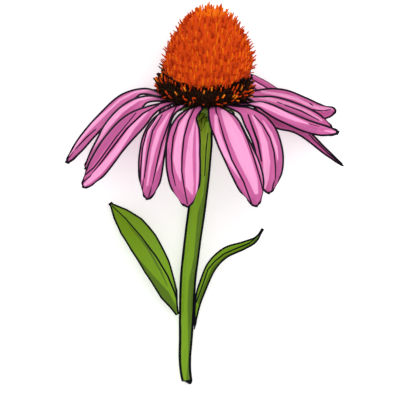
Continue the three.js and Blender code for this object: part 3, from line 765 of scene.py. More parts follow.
def chosen(tree, draw, tones):
    """One colour out of some, by a number drawn for each piece. tones are (from what number, colour)."""
    coats = []
    for start, tone in tones[1:]:
        coats.append((add(tree, RANGE, draw, start - DRAW_STEP, start + DRAW_STEP, **EASED), tone))
    return coated(tree, tones[0][1], *coats)


def parts_of(tree, attribute):
    """The three numbers of a stored attribute."""
    read = add(tree, STORED, take="Vector", attribute_name=attribute)
    return add(tree, SPLIT, read, take=None).outputs


def stretched(tree, along):
    """A blade's own place in millimetres, across and along, drawn out along it."""
    read = add(tree, STORED, take="Vector", attribute_name="grain")
    return add(tree, MAPPING, named={"Vector": read, "Scale": (1.0, 1 / along, 1.0)}, vector_type="POINT")


def new_material(name):
    """An empty material and the tree that it is made in."""
    material = bpy.data.materials.new(name)
    material.use_nodes = True
    material.node_tree.nodes.clear()
    return material, material.node_tree


def finish_surface(tree, shade, roughness, bump, bump_height, gloss=0.2, soft=0.0):
    """The shader, with its colour, roughness, bump in millimetres, gloss and softness to light."""
    lifted = add(tree, "ShaderNodeBump",
                 named={"Strength": 1.0, "Distance": bump_height * MM, "Height": bump})
    shader = add(tree, "ShaderNodeBsdfPrincipled", take=None, named={
        "Base Color": shade, "Roughness": roughness, "Normal": lifted, "Specular IOR Level": gloss,
        "Subsurface Weight": soft, "Subsurface Scale": SOFT_REACH * MM})
    add(tree, "ShaderNodeOutputMaterial", shader.outputs[0], take=None)
    return shader


def pen_mask(tree, margin):
    """One where a dark crease or the dark rim of a blade lies. The rim's width wavers a little."""
    distances, pens = parts_of(tree, "crease"), parts_of(tree, "pen")
    wobble = add(tree, NOISE, named={"Vector": stretched(tree, RIM_STRETCH), "Scale": RIM_WAVES_PER_MM})
    drift = add(tree, MATH, wobble, RIM_WAVER, -RIM_WAVER / 2, operation="MULTIPLY_ADD")
    rim = add(tree, MATH, parts_of(tree, "tone")[2], drift, operation="ADD")
    mask = add(tree, RANGE, rim, margin + RIM_SOFT, margin - RIM_SOFT, **EASED)
    for distance, pen in zip(distances, pens):
        away = add(tree, MATH, distance, operation="ABSOLUTE")
        gap = add(tree, MATH, away, pen, operation="SUBTRACT")
        line = add(tree, RANGE, gap, PEN_SOFT, 0.0, **EASED)
        mask = add(tree, MATH, mask, line, operation="MAXIMUM")
    return mask


def tone_masks(tree, softness):
    """The light bands and the shaded bands of a blade, each from nought to one."""
    depths = parts_of(tree, "tone")[:2]
    return [add(tree, RANGE, depth, -softness, softness, **EASED) for depth in depths]


# Settings

class ConeflowerPetals(PropertyGroup):
    """Sizes and colours of the petals"""
    thickness: size("Thickness", 0.8, "Thickness of a petal at its middle")
    groove: size("Groove depth", 0.2, "How deep the drawn creases are pressed")
    margin: size("Dark margin", 0.8, "Width of the dark rim round each petal")
    light: colour("Light pink", "#FDA7D9", "The bands that catch the light")
    middle: colour("Pink", "#D464A4", "The body of a petal")
    shade: colour("Shaded pink", "#C25A97", "The sides and tips in shade")
    pen: colour("Rim", "#191420", "Rim and creases")


class ConeflowerCone(PropertyGroup):
    """Sizes and colours of the cone"""
    spine_spacing: size("Spine spacing", 2.7, "Least gap from one spine to the next")
    spine_length: size("Spine length", 3.5, "Length of a spine from its sunk root")
    spine_radius: size("Spine radius", 0.33, "Radius of a spine at its root")
    floret_spacing: size("Floret spacing", 2.1, "Least gap from one floret to the next")
    floret_length: size("Floret length", 2.8, "Length of a floret, which lies along the cone")
    floret_radius: size("Floret radius", 0.5, "Radius of a floret")
    seed: IntProperty(name="Seed", description="Draws the places of spines and florets", default=7)
    flesh: colour("Cone", "#E04C10", "The cone between its spines")
    deep: colour("Deep red", "#BA380C", "The darker spines")
    bright: colour("Bright orange", "#F6720E", "The florets between the spines")
    # Painted highlight: the lighter orange laid on the top of the cone and on its side that faces along the
    # flower.
    top_highlight: colour("Crown", "#FC7F0C", "The top of the cone")


class ConeflowerSkirt(PropertyGroup):
    """Sizes and colours of the dark ring"""
    spacing: size("Floret spacing", 1.3, "Least gap from one dark floret to the next")
    length: size("Floret length", 3.3, "Length of a dark floret from its sunk root")
    radius: size("Floret radius", 0.44, "Radius of a dark floret at its root")
    seed: IntProperty(name="Seed", description="Draws the places of the dark florets", default=11)
    dark: colour("Dark brown", "#201006", "The ring and most of its florets")
    red: colour("Red tips", "#D8460E", "The florets with red tips")
    gold: colour("Gold tips", "#FF8C1A", "The few florets with gold tips")


class ConeflowerGreens(PropertyGroup):
    """Sizes and colours of stem, cup and leaves"""
    leaf_thickness: size("Leaf thickness", 0.8, "Thickness of a leaf at its middle")
    margin: size("Dark margin", 0.76, "Width of the dark rim of a leaf")
    stem_margin: size("Stem margin", 0.85, "Width of the dark rib down each side of the stem")
    bract_margin: size("Bract margin", 0.16, "Width of the dark rim of a bract")
    green: colour("Leaf green", "#7AA51E", "Stem, leaves and bracts")
    # Painted light: the paler green laid over the top of the stem, under the head.
    pale: colour("Pale green", "#9CCB30", "The young top of the stem")
    shade: colour("Shaded green", "#5A7A1D", "The shaded side of stem and leaves")
    pen: colour("Rim", "#14141B", "Rim, midrib and creases")


class ConeflowerStage(PropertyGroup):
    """Floor, light and camera"""
    focal: FloatProperty(name="Focal length", description="Lens of the camera in millimetres",
                         default=1000, unit="CAMERA")
    scale_height: size("Scale height", 25, "Height above the floor at which the picture is to scale")
    ambient: FloatProperty(name="Ambient", description="Light from all round", default=0.84,
                           subtype="FACTOR")
    key: FloatProperty(name="Key light", description="Power of the large soft light in watts", default=4,
                       unit="POWER")
    floor: colour("Floor", "#FAFAFA", "The pale floor")
    glow: FloatProperty(name="Floor glow", description="Light that the floor gives off itself", default=0.38,
                        subtype="FACTOR")


# Materials. Patterns are given as lumps per millimetre of the real surface.

# A pair of shares tells from what value of its noise a pattern begins to show, and from where in full.

# Petal veins, and clouds of deeper pink. Real veins are finer and would not show in the picture.
VEINS_PER_MM, VEIN_STRETCH, VEIN_STRENGTH, VEIN_HEIGHT = 2.4, 14.0, 0.16, 0.12
VEINS_SHOW, LINE_DETAIL = (0.45, 0.75), 3.0
PETAL_CLOUDS_PER_MM, CLOUD_STRETCH, PETAL_CLOUDS_SHOW = 0.16, 3.0, (0.35, 0.75)
PETAL_BAND_SOFT, PETAL_ROUGH, PETAL_SOFT = 0.28, 0.5, 0.1
PETAL_GLOSS, PETAL_GLOSS_LOST = 0.22, 0.2
# Green skin: fibres as coarse as the picture can show, and clouds of paler green.
FIBRES_PER_MM, FIBRE_STRENGTH, FIBRE_HEIGHT, FIBRES_SHOW = 2.6, 0.2, 0.14, (0.5, 0.8)
LEAF_STRETCH, STEM_STRETCH, BRACT_STRETCH = 9.0, 20.0, 6.0
GREEN_CLOUDS_PER_MM, GREEN_CLOUD_STRETCH, GREEN_CLOUD_STRENGTH = 0.2, 4.0, 0.25
GREEN_CLOUDS_SHOW, CLOUDED_GREEN = (0.4, 0.7), "#86AE28"
# The last value is how strongly the painted light at the stem's top shows.
GREEN_BAND_SOFT, GREEN_GLOSS, PAINTED_LIGHT_STRENGTH = 0.22, 0.12, 0.6
GREEN_ROUGH, GREEN_SOFT = 0.45, 0.03
# Cone: its mottle, its fine grain, and the ragged level up to which its foot has gone dark. Pieces whose
# drawn number is above the next value stay bright there. Then the painted highlight on the crown, by height
# and by slope, and how far its colour takes over.
MOTTLE_PER_MM, MOTTLE_SHOWS, MOTTLE_STRENGTH = 0.26, (0.42, 0.62), 0.2
CONE_GRAIN_PER_MM, CONE_GRAIN_HEIGHT, CONE_ROUGH, DRY_GLOSS = 1.4, 0.1, 0.7, 0.05
FOOT_LEVEL, FOOT_DIP, FOOT_DIP_POWER = 11.8, 4.2, 1.6
FOOT_LUMPS_PER_MM, FOOT_RAGGED, FOOT_SOFT = 0.42, 3.0, 0.35
STILL_BRIGHT_FROM, DRAW_STEP = 0.75, 0.01
HIGHLIGHT_HEIGHTS, HIGHLIGHT_SLOPES = (33.8, 34.8), (0.76, 0.84)
HIGHLIGHT_ON_CONE, HIGHLIGHT_ON_SPINES = 0.9, 0.15
CONE_RED, FLORET_ORANGE = "#C43C0C", "#E85A0C"
# Dark ring: brown lumps on nearly black, from what height its florets show their tips, and from what
# share of its length a floret is coloured.
RING_LUMPS_PER_MM, RING_LUMPS_SHOW, RING_LUMP_STRENGTH = 0.9, (0.5, 0.7), 0.3
RING_GRAIN_PER_MM, RING_GRAIN_HEIGHT, RING_ROUGH = 1.6, 0.12, 0.6
RING_TIPS_FROM, RING_TIP_SHARE, FLORET_TIP_SHARE, TIP_SOFT = (0.6, 1.4), 0.5, 0.42, 0.1
RING_BROWN, RING_BLACK = "#3A1D0C", "#2A1407"


def petal_material(settings):
    """Ray petal: thin damp tissue with fine long veins, so a soft satin with a faint grain along it."""
    material, tree = new_material("ray_petal_tissue")
    light, shade = tone_masks(tree, PETAL_BAND_SOFT)
    veins = add(tree, NOISE, named={"Vector": stretched(tree, VEIN_STRETCH), "Scale": VEINS_PER_MM,
                                    "Detail": LINE_DETAIL})
    cloud = add(tree, NOISE, named={"Vector": stretched(tree, CLOUD_STRETCH), "Scale": PETAL_CLOUDS_PER_MM})
    clouded = add(tree, RANGE, cloud, *PETAL_CLOUDS_SHOW, **EASED)
    unlit = add(tree, MATH, 1.0, light, operation="SUBTRACT")
    shaded = add(tree, MATH, shade, unlit, operation="MULTIPLY")
    vein = add(tree, RANGE, veins, *VEINS_SHOW, **EASED)
    veined = add(tree, MATH, vein, VEIN_STRENGTH, operation="MULTIPLY")
    mask = pen_mask(tree, mm(settings.margin))
    body = coated(tree, settings.middle, (clouded, settings.shade), (light, settings.light),
                  (shaded, settings.shade), (veined, settings.shade), (mask, settings.pen))
    gloss = add(tree, MATH, mask, -PETAL_GLOSS_LOST, PETAL_GLOSS, operation="MULTIPLY_ADD")
    finish_surface(tree, body, PETAL_ROUGH, veins, VEIN_HEIGHT, gloss=gloss, soft=PETAL_SOFT)
    return material


def green_material(name, settings, stretch, margin):
    """Stem or leaf: waxy green skin with long fibres, so a low gloss broken by fine ribs."""
    material, tree = new_material(name)
    light, shade = tone_masks(tree, GREEN_BAND_SOFT)
    fibres = add(tree, NOISE, named={"Vector": stretched(tree, stretch), "Scale": FIBRES_PER_MM,
                                     "Detail": LINE_DETAIL})
    cloud = add(tree, NOISE, named={"Vector": stretched(tree, GREEN_CLOUD_STRETCH),
                                    "Scale": GREEN_CLOUDS_PER_MM})
    lump = add(tree, RANGE, cloud, *GREEN_CLOUDS_SHOW, **EASED)
    clouded = add(tree, MATH, lump, GREEN_CLOUD_STRENGTH, operation="MULTIPLY")
    # Painted light: the paler green laid over the top of the stem.
    pale = add(tree, MATH, light, PAINTED_LIGHT_STRENGTH, operation="MULTIPLY")
    fibre = add(tree, RANGE, fibres, *FIBRES_SHOW, **EASED)
    ribbed = add(tree, MATH, fibre, FIBRE_STRENGTH, operation="MULTIPLY")
    mask = pen_mask(tree, mm(margin))
    body = coated(tree, settings.green, (clouded, linear(CLOUDED_GREEN)), (shade, settings.shade),
                  (pale, settings.pale), (ribbed, settings.shade), (mask, settings.pen))
    gloss = add(tree, MATH, mask, -GREEN_GLOSS, GREEN_GLOSS, operation="MULTIPLY_ADD")
    finish_surface(tree, body, GREEN_ROUGH, fibres, FIBRE_HEIGHT, gloss=gloss, soft=GREEN_SOFT)
    return material


def head_coordinates(tree):
    """Height up the head's axis in millimetres, and the sine of the bearing, from the place on the object."""
    place = add(tree, PLACE, take="Object")
    from_head = add(tree, VECTOR_MATH, place, tuple(HEAD_AT * MM), operation="SUBTRACT")
    reach = []
    for axis in (HEAD_UP, HEAD_FRONT, HEAD_RIGHT):
        dot = add(tree, VECTOR_MATH, from_head, tuple(axis), take="Value", operation="DOT_PRODUCT")
        reach.append(add(tree, MATH, dot, MM, operation="DIVIDE"))
    up, front, right = reach
    squares = [add(tree, MATH, side, 2.0, operation="POWER") for side in (front, right)]
    wide = add(tree, MATH, add(tree, MATH, *squares, operation="ADD"), operation="SQRT")
    least = add(tree, MATH, wide, 0.5, operation="MAXIMUM")
    return up, add(tree, MATH, front, least, operation="DIVIDE")


def dark_foot(tree, place, height, facing):
    """One where the foot of the cone has gone dark. The dark climbs higher at the sides."""
    turned = add(tree, MATH, facing, 0.0, operation="MAXIMUM")
    bent = add(tree, MATH, turned, FOOT_DIP_POWER, operation="POWER")
    dip = add(tree, MATH, bent, FOOT_DIP, operation="MULTIPLY")
    level = add(tree, MATH, FOOT_LEVEL, dip, operation="SUBTRACT")
    lumps = add(tree, NOISE, named={"Vector": place, "Scale": FOOT_LUMPS_PER_MM / MM})
    ragged = add(tree, MATH, lumps, FOOT_RAGGED, -FOOT_RAGGED / 2, operation="MULTIPLY_ADD")
    top = add(tree, MATH, level, ragged, operation="ADD")
    under = add(tree, MATH, top, height, operation="SUBTRACT")
    return add(tree, RANGE, under, -FOOT_SOFT, FOOT_SOFT, **EASED)


def cone_highlight(tree, height):
    """Painted highlight: one high up the head, or where the surface faces along the flower as it lies."""
    normal = add(tree, "ShaderNodeNewGeometry", take="Normal")
    slope = add(tree, SPLIT, normal, take=1)
    high = add(tree, RANGE, height, *HIGHLIGHT_HEIGHTS, **EASED)
    facing = add(tree, RANGE, slope, *HIGHLIGHT_SLOPES, **EASED)
    return add(tree, MATH, high, facing, operation="MAXIMUM")


def cone_material(name, settings, dark, tones, highlight_share):
    """Cone tissue: dry, horny scales and spines, so matte with hard colour steps from one to the next.
    tones are (share of the pieces, colour) pairs, and the last argument is how far the colour of the painted
    highlight takes over."""
    material, tree = new_material(name)
    place = add(tree, PLACE, take="Object")
    height, facing = head_coordinates(tree)
    draw = add(tree, STORED, take="Fac", attribute_name="draw")
    # Painted highlight on the top of the cone.
    top_highlight = add(tree, MATH, cone_highlight(tree, height), highlight_share, operation="MULTIPLY")
    lumps = add(tree, NOISE, named={"Vector": place, "Scale": MOTTLE_PER_MM / MM})
    lump = add(tree, RANGE, lumps, *MOTTLE_SHOWS, **EASED)
    mottle = add(tree, MATH, lump, MOTTLE_STRENGTH, operation="MULTIPLY")
    kept = add(tree, RANGE, draw, STILL_BRIGHT_FROM - DRAW_STEP, STILL_BRIGHT_FROM + DRAW_STEP, **EASED)
    darkened = add(tree, MATH, 1.0, kept, operation="SUBTRACT")
    foot = add(tree, MATH, dark_foot(tree, place, height, facing), darkened, operation="MULTIPLY")
    body = coated(tree, chosen(tree, draw, tones), (top_highlight, settings.top_highlight), (mottle, settings.deep),
                  (foot, dark))
    grain = add(tree, NOISE, named={"Vector": place, "Scale": CONE_GRAIN_PER_MM / MM})
    finish_surface(tree, body, CONE_ROUGH, grain, CONE_GRAIN_HEIGHT, gloss=DRY_GLOSS)
    return material


def skirt_material(name, settings, tones, from_rise):
    """Dark florets: dry and dull, tipped with colour on some. tones are (share, colour) pairs, and the
    colour begins at from_rise, a share of the floret's length."""
    material, tree = new_material(name)
    place = add(tree, PLACE, take="Object")
    draw = add(tree, STORED, take="Fac", attribute_name="draw")
    rise = add(tree, STORED, take="Fac", attribute_name="rise")
    height = head_coordinates(tree)[0]
    tipped = add(tree, RANGE, rise, from_rise - TIP_SOFT, from_rise + TIP_SOFT, **EASED)
    above = add(tree, RANGE, height, *RING_TIPS_FROM, **EASED)
    shown = add(tree, MATH, tipped, above, operation="MULTIPLY")
    lumps = add(tree, NOISE, named={"Vector": place, "Scale": RING_LUMPS_PER_MM / MM})
    lump = add(tree, RANGE, lumps, *RING_LUMPS_SHOW, **EASED)
    browned = add(tree, MATH, lump, RING_LUMP_STRENGTH, operation="MULTIPLY")
    body = coated(tree, settings.dark, (shown, chosen(tree, draw, tones)), (browned, linear(RING_BROWN)))
    grain = add(tree, NOISE, named={"Vector": place, "Scale": RING_GRAIN_PER_MM / MM})
    finish_surface(tree, body, RING_ROUGH, grain, RING_GRAIN_HEIGHT, gloss=DRY_GLOSS)
    return material


# Geometry Nodes

# What each layer of a bristle tree is given: the name of each input and its kind.
LAYER_INPUTS = {
    "Spacing": "NodeSocketFloat", "Length": "NodeSocketFloat", "Root Radius": "NodeSocketFloat",
    "Tip Radius": "NodeSocketFloat", "Lean": "NodeSocketFloat", "Scatter": "NodeSocketFloat",
    "Seed": "NodeSocketInt", "Material": "NodeSocketMaterial",
}
# More points than there is room for, so that the spacing alone sets how many stay.
MOST_POINTS = 3e6
SPIKE_SIDES, SPIKE_SEGMENTS, SPIKE_SUNK = 6, 3, 0.2
SPIKE_SIZES = {2: 0.78, 3: 1.16, "Seed": 3}
SPIKE_DRAWS = {2: 0.0, 3: 1.0, "Seed": 5}


def bristle_tree(name, layers):
    """A node tree that stands layers of small spikes on a mesh, each layer with its own sizes."""
    tree = bpy.data.node_groups.new(name, "GeometryNodeTree")
    sockets = {"Geometry": "NodeSocketGeometry", "Axis": "NodeSocketVector"}
    for layer in layers:
        sockets.update({f"{layer} {part}": kind for part, kind in LAYER_INPUTS.items()})
    for socket, kind in sockets.items():
        tree.interface.new_socket(socket, in_out="INPUT", socket_type=kind)
    tree.interface.new_socket("Geometry", in_out="OUTPUT", socket_type="NodeSocketGeometry")
    given = add(tree, "NodeGroupInput", take=None).outputs
    joined = add(tree, "GeometryNodeJoinGeometry", take=None)
    tree.links.new(given["Geometry"], joined.inputs[0])
    for layer in layers:
        tree.links.new(bristle_layer(tree, given, layer), joined.inputs[0])
    add(tree, "NodeGroupOutput", joined.outputs[0], take=None)
    return tree


def bristle_turn(tree, normal, axis, part):
    """How each spike is turned: away from the surface, leaning up the axis, and a little astray."""
    stray = add(tree, RANDOM, (-1, -1, -1), (1, 1, 1), named={"Seed": part["Seed"]},
                data_type="FLOAT_VECTOR")
    lean = add(tree, VECTOR_MATH, axis, named={"Scale": part["Lean"]}, operation="SCALE")
    loose = add(tree, VECTOR_MATH, stray, named={"Scale": part["Scatter"]}, operation="SCALE")
    leaning = add(tree, VECTOR_MATH, normal, lean, operation="ADD")
    aimed = add(tree, VECTOR_MATH, leaning, loose, operation="ADD")
    return add(tree, "FunctionNodeAlignRotationToVector", named={"Vector": aimed}, axis="Z")


def bristle_spike(tree, part):
    """One upright spike with its root sunk. "rise" tells how far up the spike a point lies."""
    spike = add(tree, "GeometryNodeMeshCone", fill_type="TRIANGLE_FAN", take="Mesh", named={
        "Vertices": SPIKE_SIDES, "Side Segments": SPIKE_SEGMENTS, "Radius Top": part["Tip Radius"],
        "Radius Bottom": part["Root Radius"], "Depth": part["Length"]})
    up = add(tree, SPLIT, add(tree, "GeometryNodeInputPosition"), take=2)
    rise = add(tree, MATH, up, part["Length"], operation="DIVIDE")
    marked = add(tree, "GeometryNodeStoreNamedAttribute", data_type="FLOAT", domain="POINT",
                 named={"Geometry": spike, "Name": "rise", "Value": rise})
    root = add(tree, MATH, part["Length"], -SPIKE_SUNK, operation="MULTIPLY")
    rooted = add(tree, JOIN, named={2: root})
    return add(tree, "GeometryNodeTransform", named={"Geometry": marked, "Translation": rooted})


def bristle_layer(tree, given, layer):
    """One layer of spikes, made real and coloured. "draw" is a number drawn once for each spike."""
    part = {key: given[f"{layer} {key}"] for key in LAYER_INPUTS}
    spread = add(tree, "GeometryNodeDistributePointsOnFaces", take=None, distribute_method="POISSON",
                 named={"Mesh": given["Geometry"], "Distance Min": part["Spacing"],
                        "Density Max": MOST_POINTS, "Seed": part["Seed"]})
    turn = bristle_turn(tree, spread.outputs["Normal"], given["Axis"], part)
    sized = add(tree, RANDOM, named=SPIKE_SIZES, take=1, data_type="FLOAT")
    stood = add(tree, "GeometryNodeInstanceOnPoints",
                named={"Points": spread.outputs["Points"], "Instance": bristle_spike(tree, part),
                       "Rotation": turn, "Scale": sized})
    draw = add(tree, RANDOM, named=SPIKE_DRAWS, take=1, data_type="FLOAT")
    marked = add(tree, "GeometryNodeStoreNamedAttribute", data_type="FLOAT", domain="INSTANCE",
                 named={"Geometry": stood, "Name": "draw", "Value": draw})
    real = add(tree, "GeometryNodeRealizeInstances", marked)
    smooth = add(tree, "GeometryNodeSetShadeSmooth", named={"Geometry": real})
    return add(tree, "GeometryNodeSetMaterial", named={"Geometry": smooth, "Material": part["Material"]})


def grown(obj, tree, values):
    """Runs a node tree on an object with named input values, and keeps the result as its plain mesh."""
    modifier = obj.modifiers.new("growth", "NODES")
    modifier.node_group = tree
    sockets = {s.name: s.identifier for s in tree.interface.items_tree if s.in_out == "INPUT"}
    for name, value in values.items():
        modifier[sockets[name]] = value
    bpy.context.view_layer.update()
    result = bpy.data.meshes.new_from_object(obj.evaluated_get(bpy.context.evaluated_depsgraph_get()))
    obj.modifiers.remove(modifier)
    obj.data = result


def piece_done(obj, slot, *nodes):
    """Ties a finished piece to the part's body, and lets it stand for its solids."""
    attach(obj, "root")
    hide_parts(*nodes)


# Pieces

PETAL_ROWS, PETAL_ACROSS = 84, 49
# An outline is evened out by its mean at these shares before and after each place.
OUTLINE_EVENED = (-0.035, -0.012, 0.012, 0.035)
PETAL_NARROWED, TIP_NARROWED_FROM, ROOT_NARROWED_TO = 0.16, 0.9, 0.07
PETAL_FOLDS_GROW = (0.12, 0.4)
PETAL_GROOVE_SPREAD = 0.42


def petal_blade(spec, thickness):
    """A petal as a bare sheet: its way from under the ring, its outline, its folds and its tip."""
    table = SLIM_OUTLINE if spec.get("slim") else PETAL_OUTLINE
    shares, widths = zip(*table)
    roots = [on_head(r, spec["bearing"], PETAL_LEVEL) for r in PETAL_ROOTS]
    way = Way(roots + [drawn(*point) for point in spec["way"]], HEAD_UP, spec["lift"])
    spread = spec["width"] / 2 - PETAL_BASE_HALF

    def half(share):
        near = [np.interp(share + step, shares, widths) for step in OUTLINE_EVENED]
        wide = PETAL_BASE_HALF + spread * np.mean(near, axis=0)
        flare = spec.get("flare", 0) * np.exp(-((share - FLARE_AT) / FLARE_REACH) ** 2)
        at_tip = smoothstep(share, TIP_NARROWED_FROM, 1)
        at_root = 1 - smoothstep(share, 0, ROOT_NARROWED_TO)
        return (wide + flare) * (1 - PETAL_NARROWED * (at_tip + at_root))

    def relief(share, across):
        folds = eased_at(PETAL_COLUMNS, PETAL_RELIEF, across) + PETAL_CUP * across ** 2
        return smoothstep(share, *PETAL_FOLDS_GROW) * folds

    def end(across):
        teeth = np.sin(1.5 * math.pi * across) ** 2
        return 1 - TIP_FALL * np.abs(across) ** TIP_FALL_POWER - TIP_TOOTH * teeth

    return Blade(way, half, relief, end, PETAL_ROWS, PETAL_ACROSS, thickness)


# A petal out of sight: where its two creases run, as shares of its half width, how wide half a crease
# is and how it runs out, then how wide its light is, and from where its sides are shaded.
PLAIN_CREASES, PLAIN_CREASE_HALF, PLAIN_CREASE_FADE = (-0.36, 0.34), 0.22, 0.9
PLAIN_CREASE_MIDDLE, PLAIN_CREASE_STEP, PLAIN_CREASE_REACH = 0.45, 0.06, 0.3
PLAIN_LIGHT_HALF, PLAIN_LIGHT_AT, PLAIN_SHADE_FROM = 0.26, 0.02, 0.72


def plain_marks(blade):
    """Creases, light and shade for a petal of which the drawing shows nothing."""
    distances, pens = no_lines(blade.share.shape)
    for k, place in enumerate(PLAIN_CREASES):
        distances[..., k] = (blade.across - place) * blade.half
        from_middle = np.abs(blade.share - PLAIN_CREASE_MIDDLE - PLAIN_CREASE_STEP * k)
        pens[..., k] = PLAIN_CREASE_HALF - PLAIN_CREASE_FADE * np.maximum(0, from_middle - PLAIN_CREASE_REACH)
    lit = PLAIN_LIGHT_HALF * (1 - blade.share ** 3)
    light = (lit - np.abs(blade.across - PLAIN_LIGHT_AT)) * blade.half
    shade = (np.abs(blade.across) - PLAIN_SHADE_FROM) * blade.half
    return distances, pens, light, shade


def drawn_marks(spec, blade):
    """Creases, light and shade that the drawing gives a petal."""
    light = band_depth(spec["lights"], blade.sheet)
    shade = band_depth(spec["shades"], blade.sheet)
    return *pen_lines(spec["creases"], blade.sheet), light, shade


class CONEFLOWER_OT_petals(Operator):
    """Makes the petals, the ones in view with the creases and bands that the drawing gives them"""
    bl_idname = "coneflower.petals"
    bl_label = "Petals"

    def execute(self, context):
        settings = context.scene.coneflower_petals
        material = petal_material(settings)
        for name, spec in PETALS.items():
            blade = petal_blade(spec, mm(settings.thickness))
            in_view = "creases" in spec
            distances, pens, light, shade = drawn_marks(spec, blade) if in_view else plain_marks(blade)
            blade.press(sunk(distances, pens, mm(settings.groove), PETAL_GROOVE_SPREAD))
            obj = blade.object("ray_petal_" + name, distances, pens, light, shade, in_view)
            obj.data.materials.append(material)
            piece_done(obj, "petal", "petal_" + name)
        return {"FINISHED"}


HEAD_SIDES, CONE_RINGS, SKIRT_RINGS = 96, 64, 20
# How far each kind of spike leans up the head's axis and how far it strays, beside the surface's normal
# of length one, and its tip's radius as a share of its root's.
SPINE_LEAN, SPINE_SCATTER, SPINE_TIP = 0.6, 0.15, 0.6
FLORET_LEAN, FLORET_SCATTER, FLORET_TIP = 5.0, 0.9, 0.6
RING_FLORET_LEAN, RING_FLORET_SCATTER, RING_FLORET_TIP = 0.9, 0.35, 0.65


class CONEFLOWER_OT_cone(Operator):
    """Makes the cone, with spines and florets all over it"""
    bl_idname = "coneflower.cone"
    bl_label = "Spiny cone"

    def execute(self, context):
        settings = context.scene.coneflower_cone
        dark = context.scene.coneflower_skirt.dark
        dome = smooth_profile(CONE_PROFILE[1:], CONE_RINGS)
        points = turned_points(dome, HEAD_SIDES, cone_sway)
        cone = mesh_object("cone_with_spines", points, turned_faces(len(dome), HEAD_SIDES))
        scales = ((0, settings.flesh),)
        spines = ((0, settings.deep), (0.4, linear(CONE_RED)), (0.8, settings.flesh))
        florets = ((0, settings.bright), (0.52, linear(FLORET_ORANGE)), (0.68, settings.deep))
        cone.data.materials.append(cone_material("cone_scales", settings, dark, scales, HIGHLIGHT_ON_CONE))
        grown(cone, bristle_tree("cone_growth", ("Spine", "Floret")), {
            "Axis": tuple(HEAD_UP),
            "Spine Spacing": settings.spine_spacing,
            "Spine Length": settings.spine_length,
            "Spine Root Radius": settings.spine_radius,
            "Spine Tip Radius": settings.spine_radius * SPINE_TIP,
            "Spine Lean": SPINE_LEAN,
            "Spine Scatter": SPINE_SCATTER,
            "Spine Seed": settings.seed,
            "Spine Material": cone_material("cone_spines", settings, dark, spines, HIGHLIGHT_ON_SPINES),
            "Floret Spacing": settings.floret_spacing,
            "Floret Length": settings.floret_length,
            "Floret Root Radius": settings.floret_radius,
            "Floret Tip Radius": settings.floret_radius * FLORET_TIP,
            "Floret Lean": FLORET_LEAN,
            "Floret Scatter": FLORET_SCATTER,
            "Floret Seed": settings.seed + 1,
            "Floret Material": cone_material("cone_florets", settings, dark, florets, HIGHLIGHT_ON_CONE),
        })
        piece_done(cone, "cone", "spiny_cone")
        return {"FINISHED"}


class CONEFLOWER_OT_skirt(Operator):
    """Makes the dark ring of florets under the cone"""
    bl_idname = "coneflower.skirt"
    bl_label = "Floret skirt"

    def execute(self, context):
        settings = context.scene.coneflower_skirt
        rings = smooth_profile(SKIRT_PROFILE[1:-1], SKIRT_RINGS)
        points = turned_points(rings, HEAD_SIDES, no_sway)
        skirt = mesh_object("dark_floret_ring", points, turned_faces(len(rings), HEAD_SIDES))
        florets = ((0, linear(RING_BLACK)), (0.6, settings.red), (0.92, settings.gold))
        plain = ((0, settings.dark),)
        skirt.data.materials.append(skirt_material("ring_tissue", settings, plain, RING_TIP_SHARE))
        grown(skirt, bristle_tree("ring_growth", ("Floret",)), {
            "Axis": tuple(HEAD_UP),
            "Floret Spacing": settings.spacing,
            "Floret Length": settings.length,
            "Floret Root Radius": settings.radius,
            "Floret Tip Radius": settings.radius * RING_FLORET_TIP,
            "Floret Lean": RING_FLORET_LEAN,
            "Floret Scatter": RING_FLORET_SCATTER,
            "Floret Seed": settings.seed,
            "Floret Material": skirt_material("dark_florets", settings, florets, FLORET_TIP_SHARE),
        })
        piece_done(skirt, "skirt", "floret_skirt")
        return {"FINISHED"}


BRACT_LEAST_HALF, BRACT_TAPER_POWER, BRACT_KEEL = 0.35, 2.2, 0.3
BRACT_STEPS, BRACT_ROWS_ALONG, BRACT_ACROSS, BRACT_THICK = 12, 18, 11, 0.8
BRACT_CREASE_HALF, BRACT_SHADE_TO = 0.12, 0.12


def bract_blade(row, bearing):
    """One bract as a bare sheet, bent outwards from its root over its knee to its tip."""
    ends = [on_head(radius, bearing, height) for radius, height in (row["root"], row["knee"], row["tip"])]
    shares = np.linspace(0, 1, BRACT_STEPS)[:, None]
    route = ends[0] * (1 - shares) ** 2 + 2 * ends[1] * shares * (1 - shares) + ends[2] * shares ** 2

    def half(share):
        return np.maximum(BRACT_LEAST_HALF, row["width"] / 2 * (1 - share ** BRACT_TAPER_POWER))

    def relief(share, across):
        return BRACT_KEEL * (1 - share) * (1 - np.abs(across))

    return Blade(Way(list(route), HEAD_UP), half, relief, np.ones_like, BRACT_ROWS_ALONG, BRACT_ACROSS,
                 BRACT_THICK)


def bract_object(row, bearing):
    """One bract, creased along its middle and shaded at its root."""
    blade = bract_blade(row, bearing)
    distances, pens = no_lines(blade.share.shape)
    distances[..., 0] = blade.across * blade.half
    pens[..., 0] = BRACT_CREASE_HALF * (1 - blade.share)
    shade = (BRACT_SHADE_TO - blade.share) * blade.way.length
    return blade.object("bract", distances, pens, np.full(shade.shape, -FAR), shade)


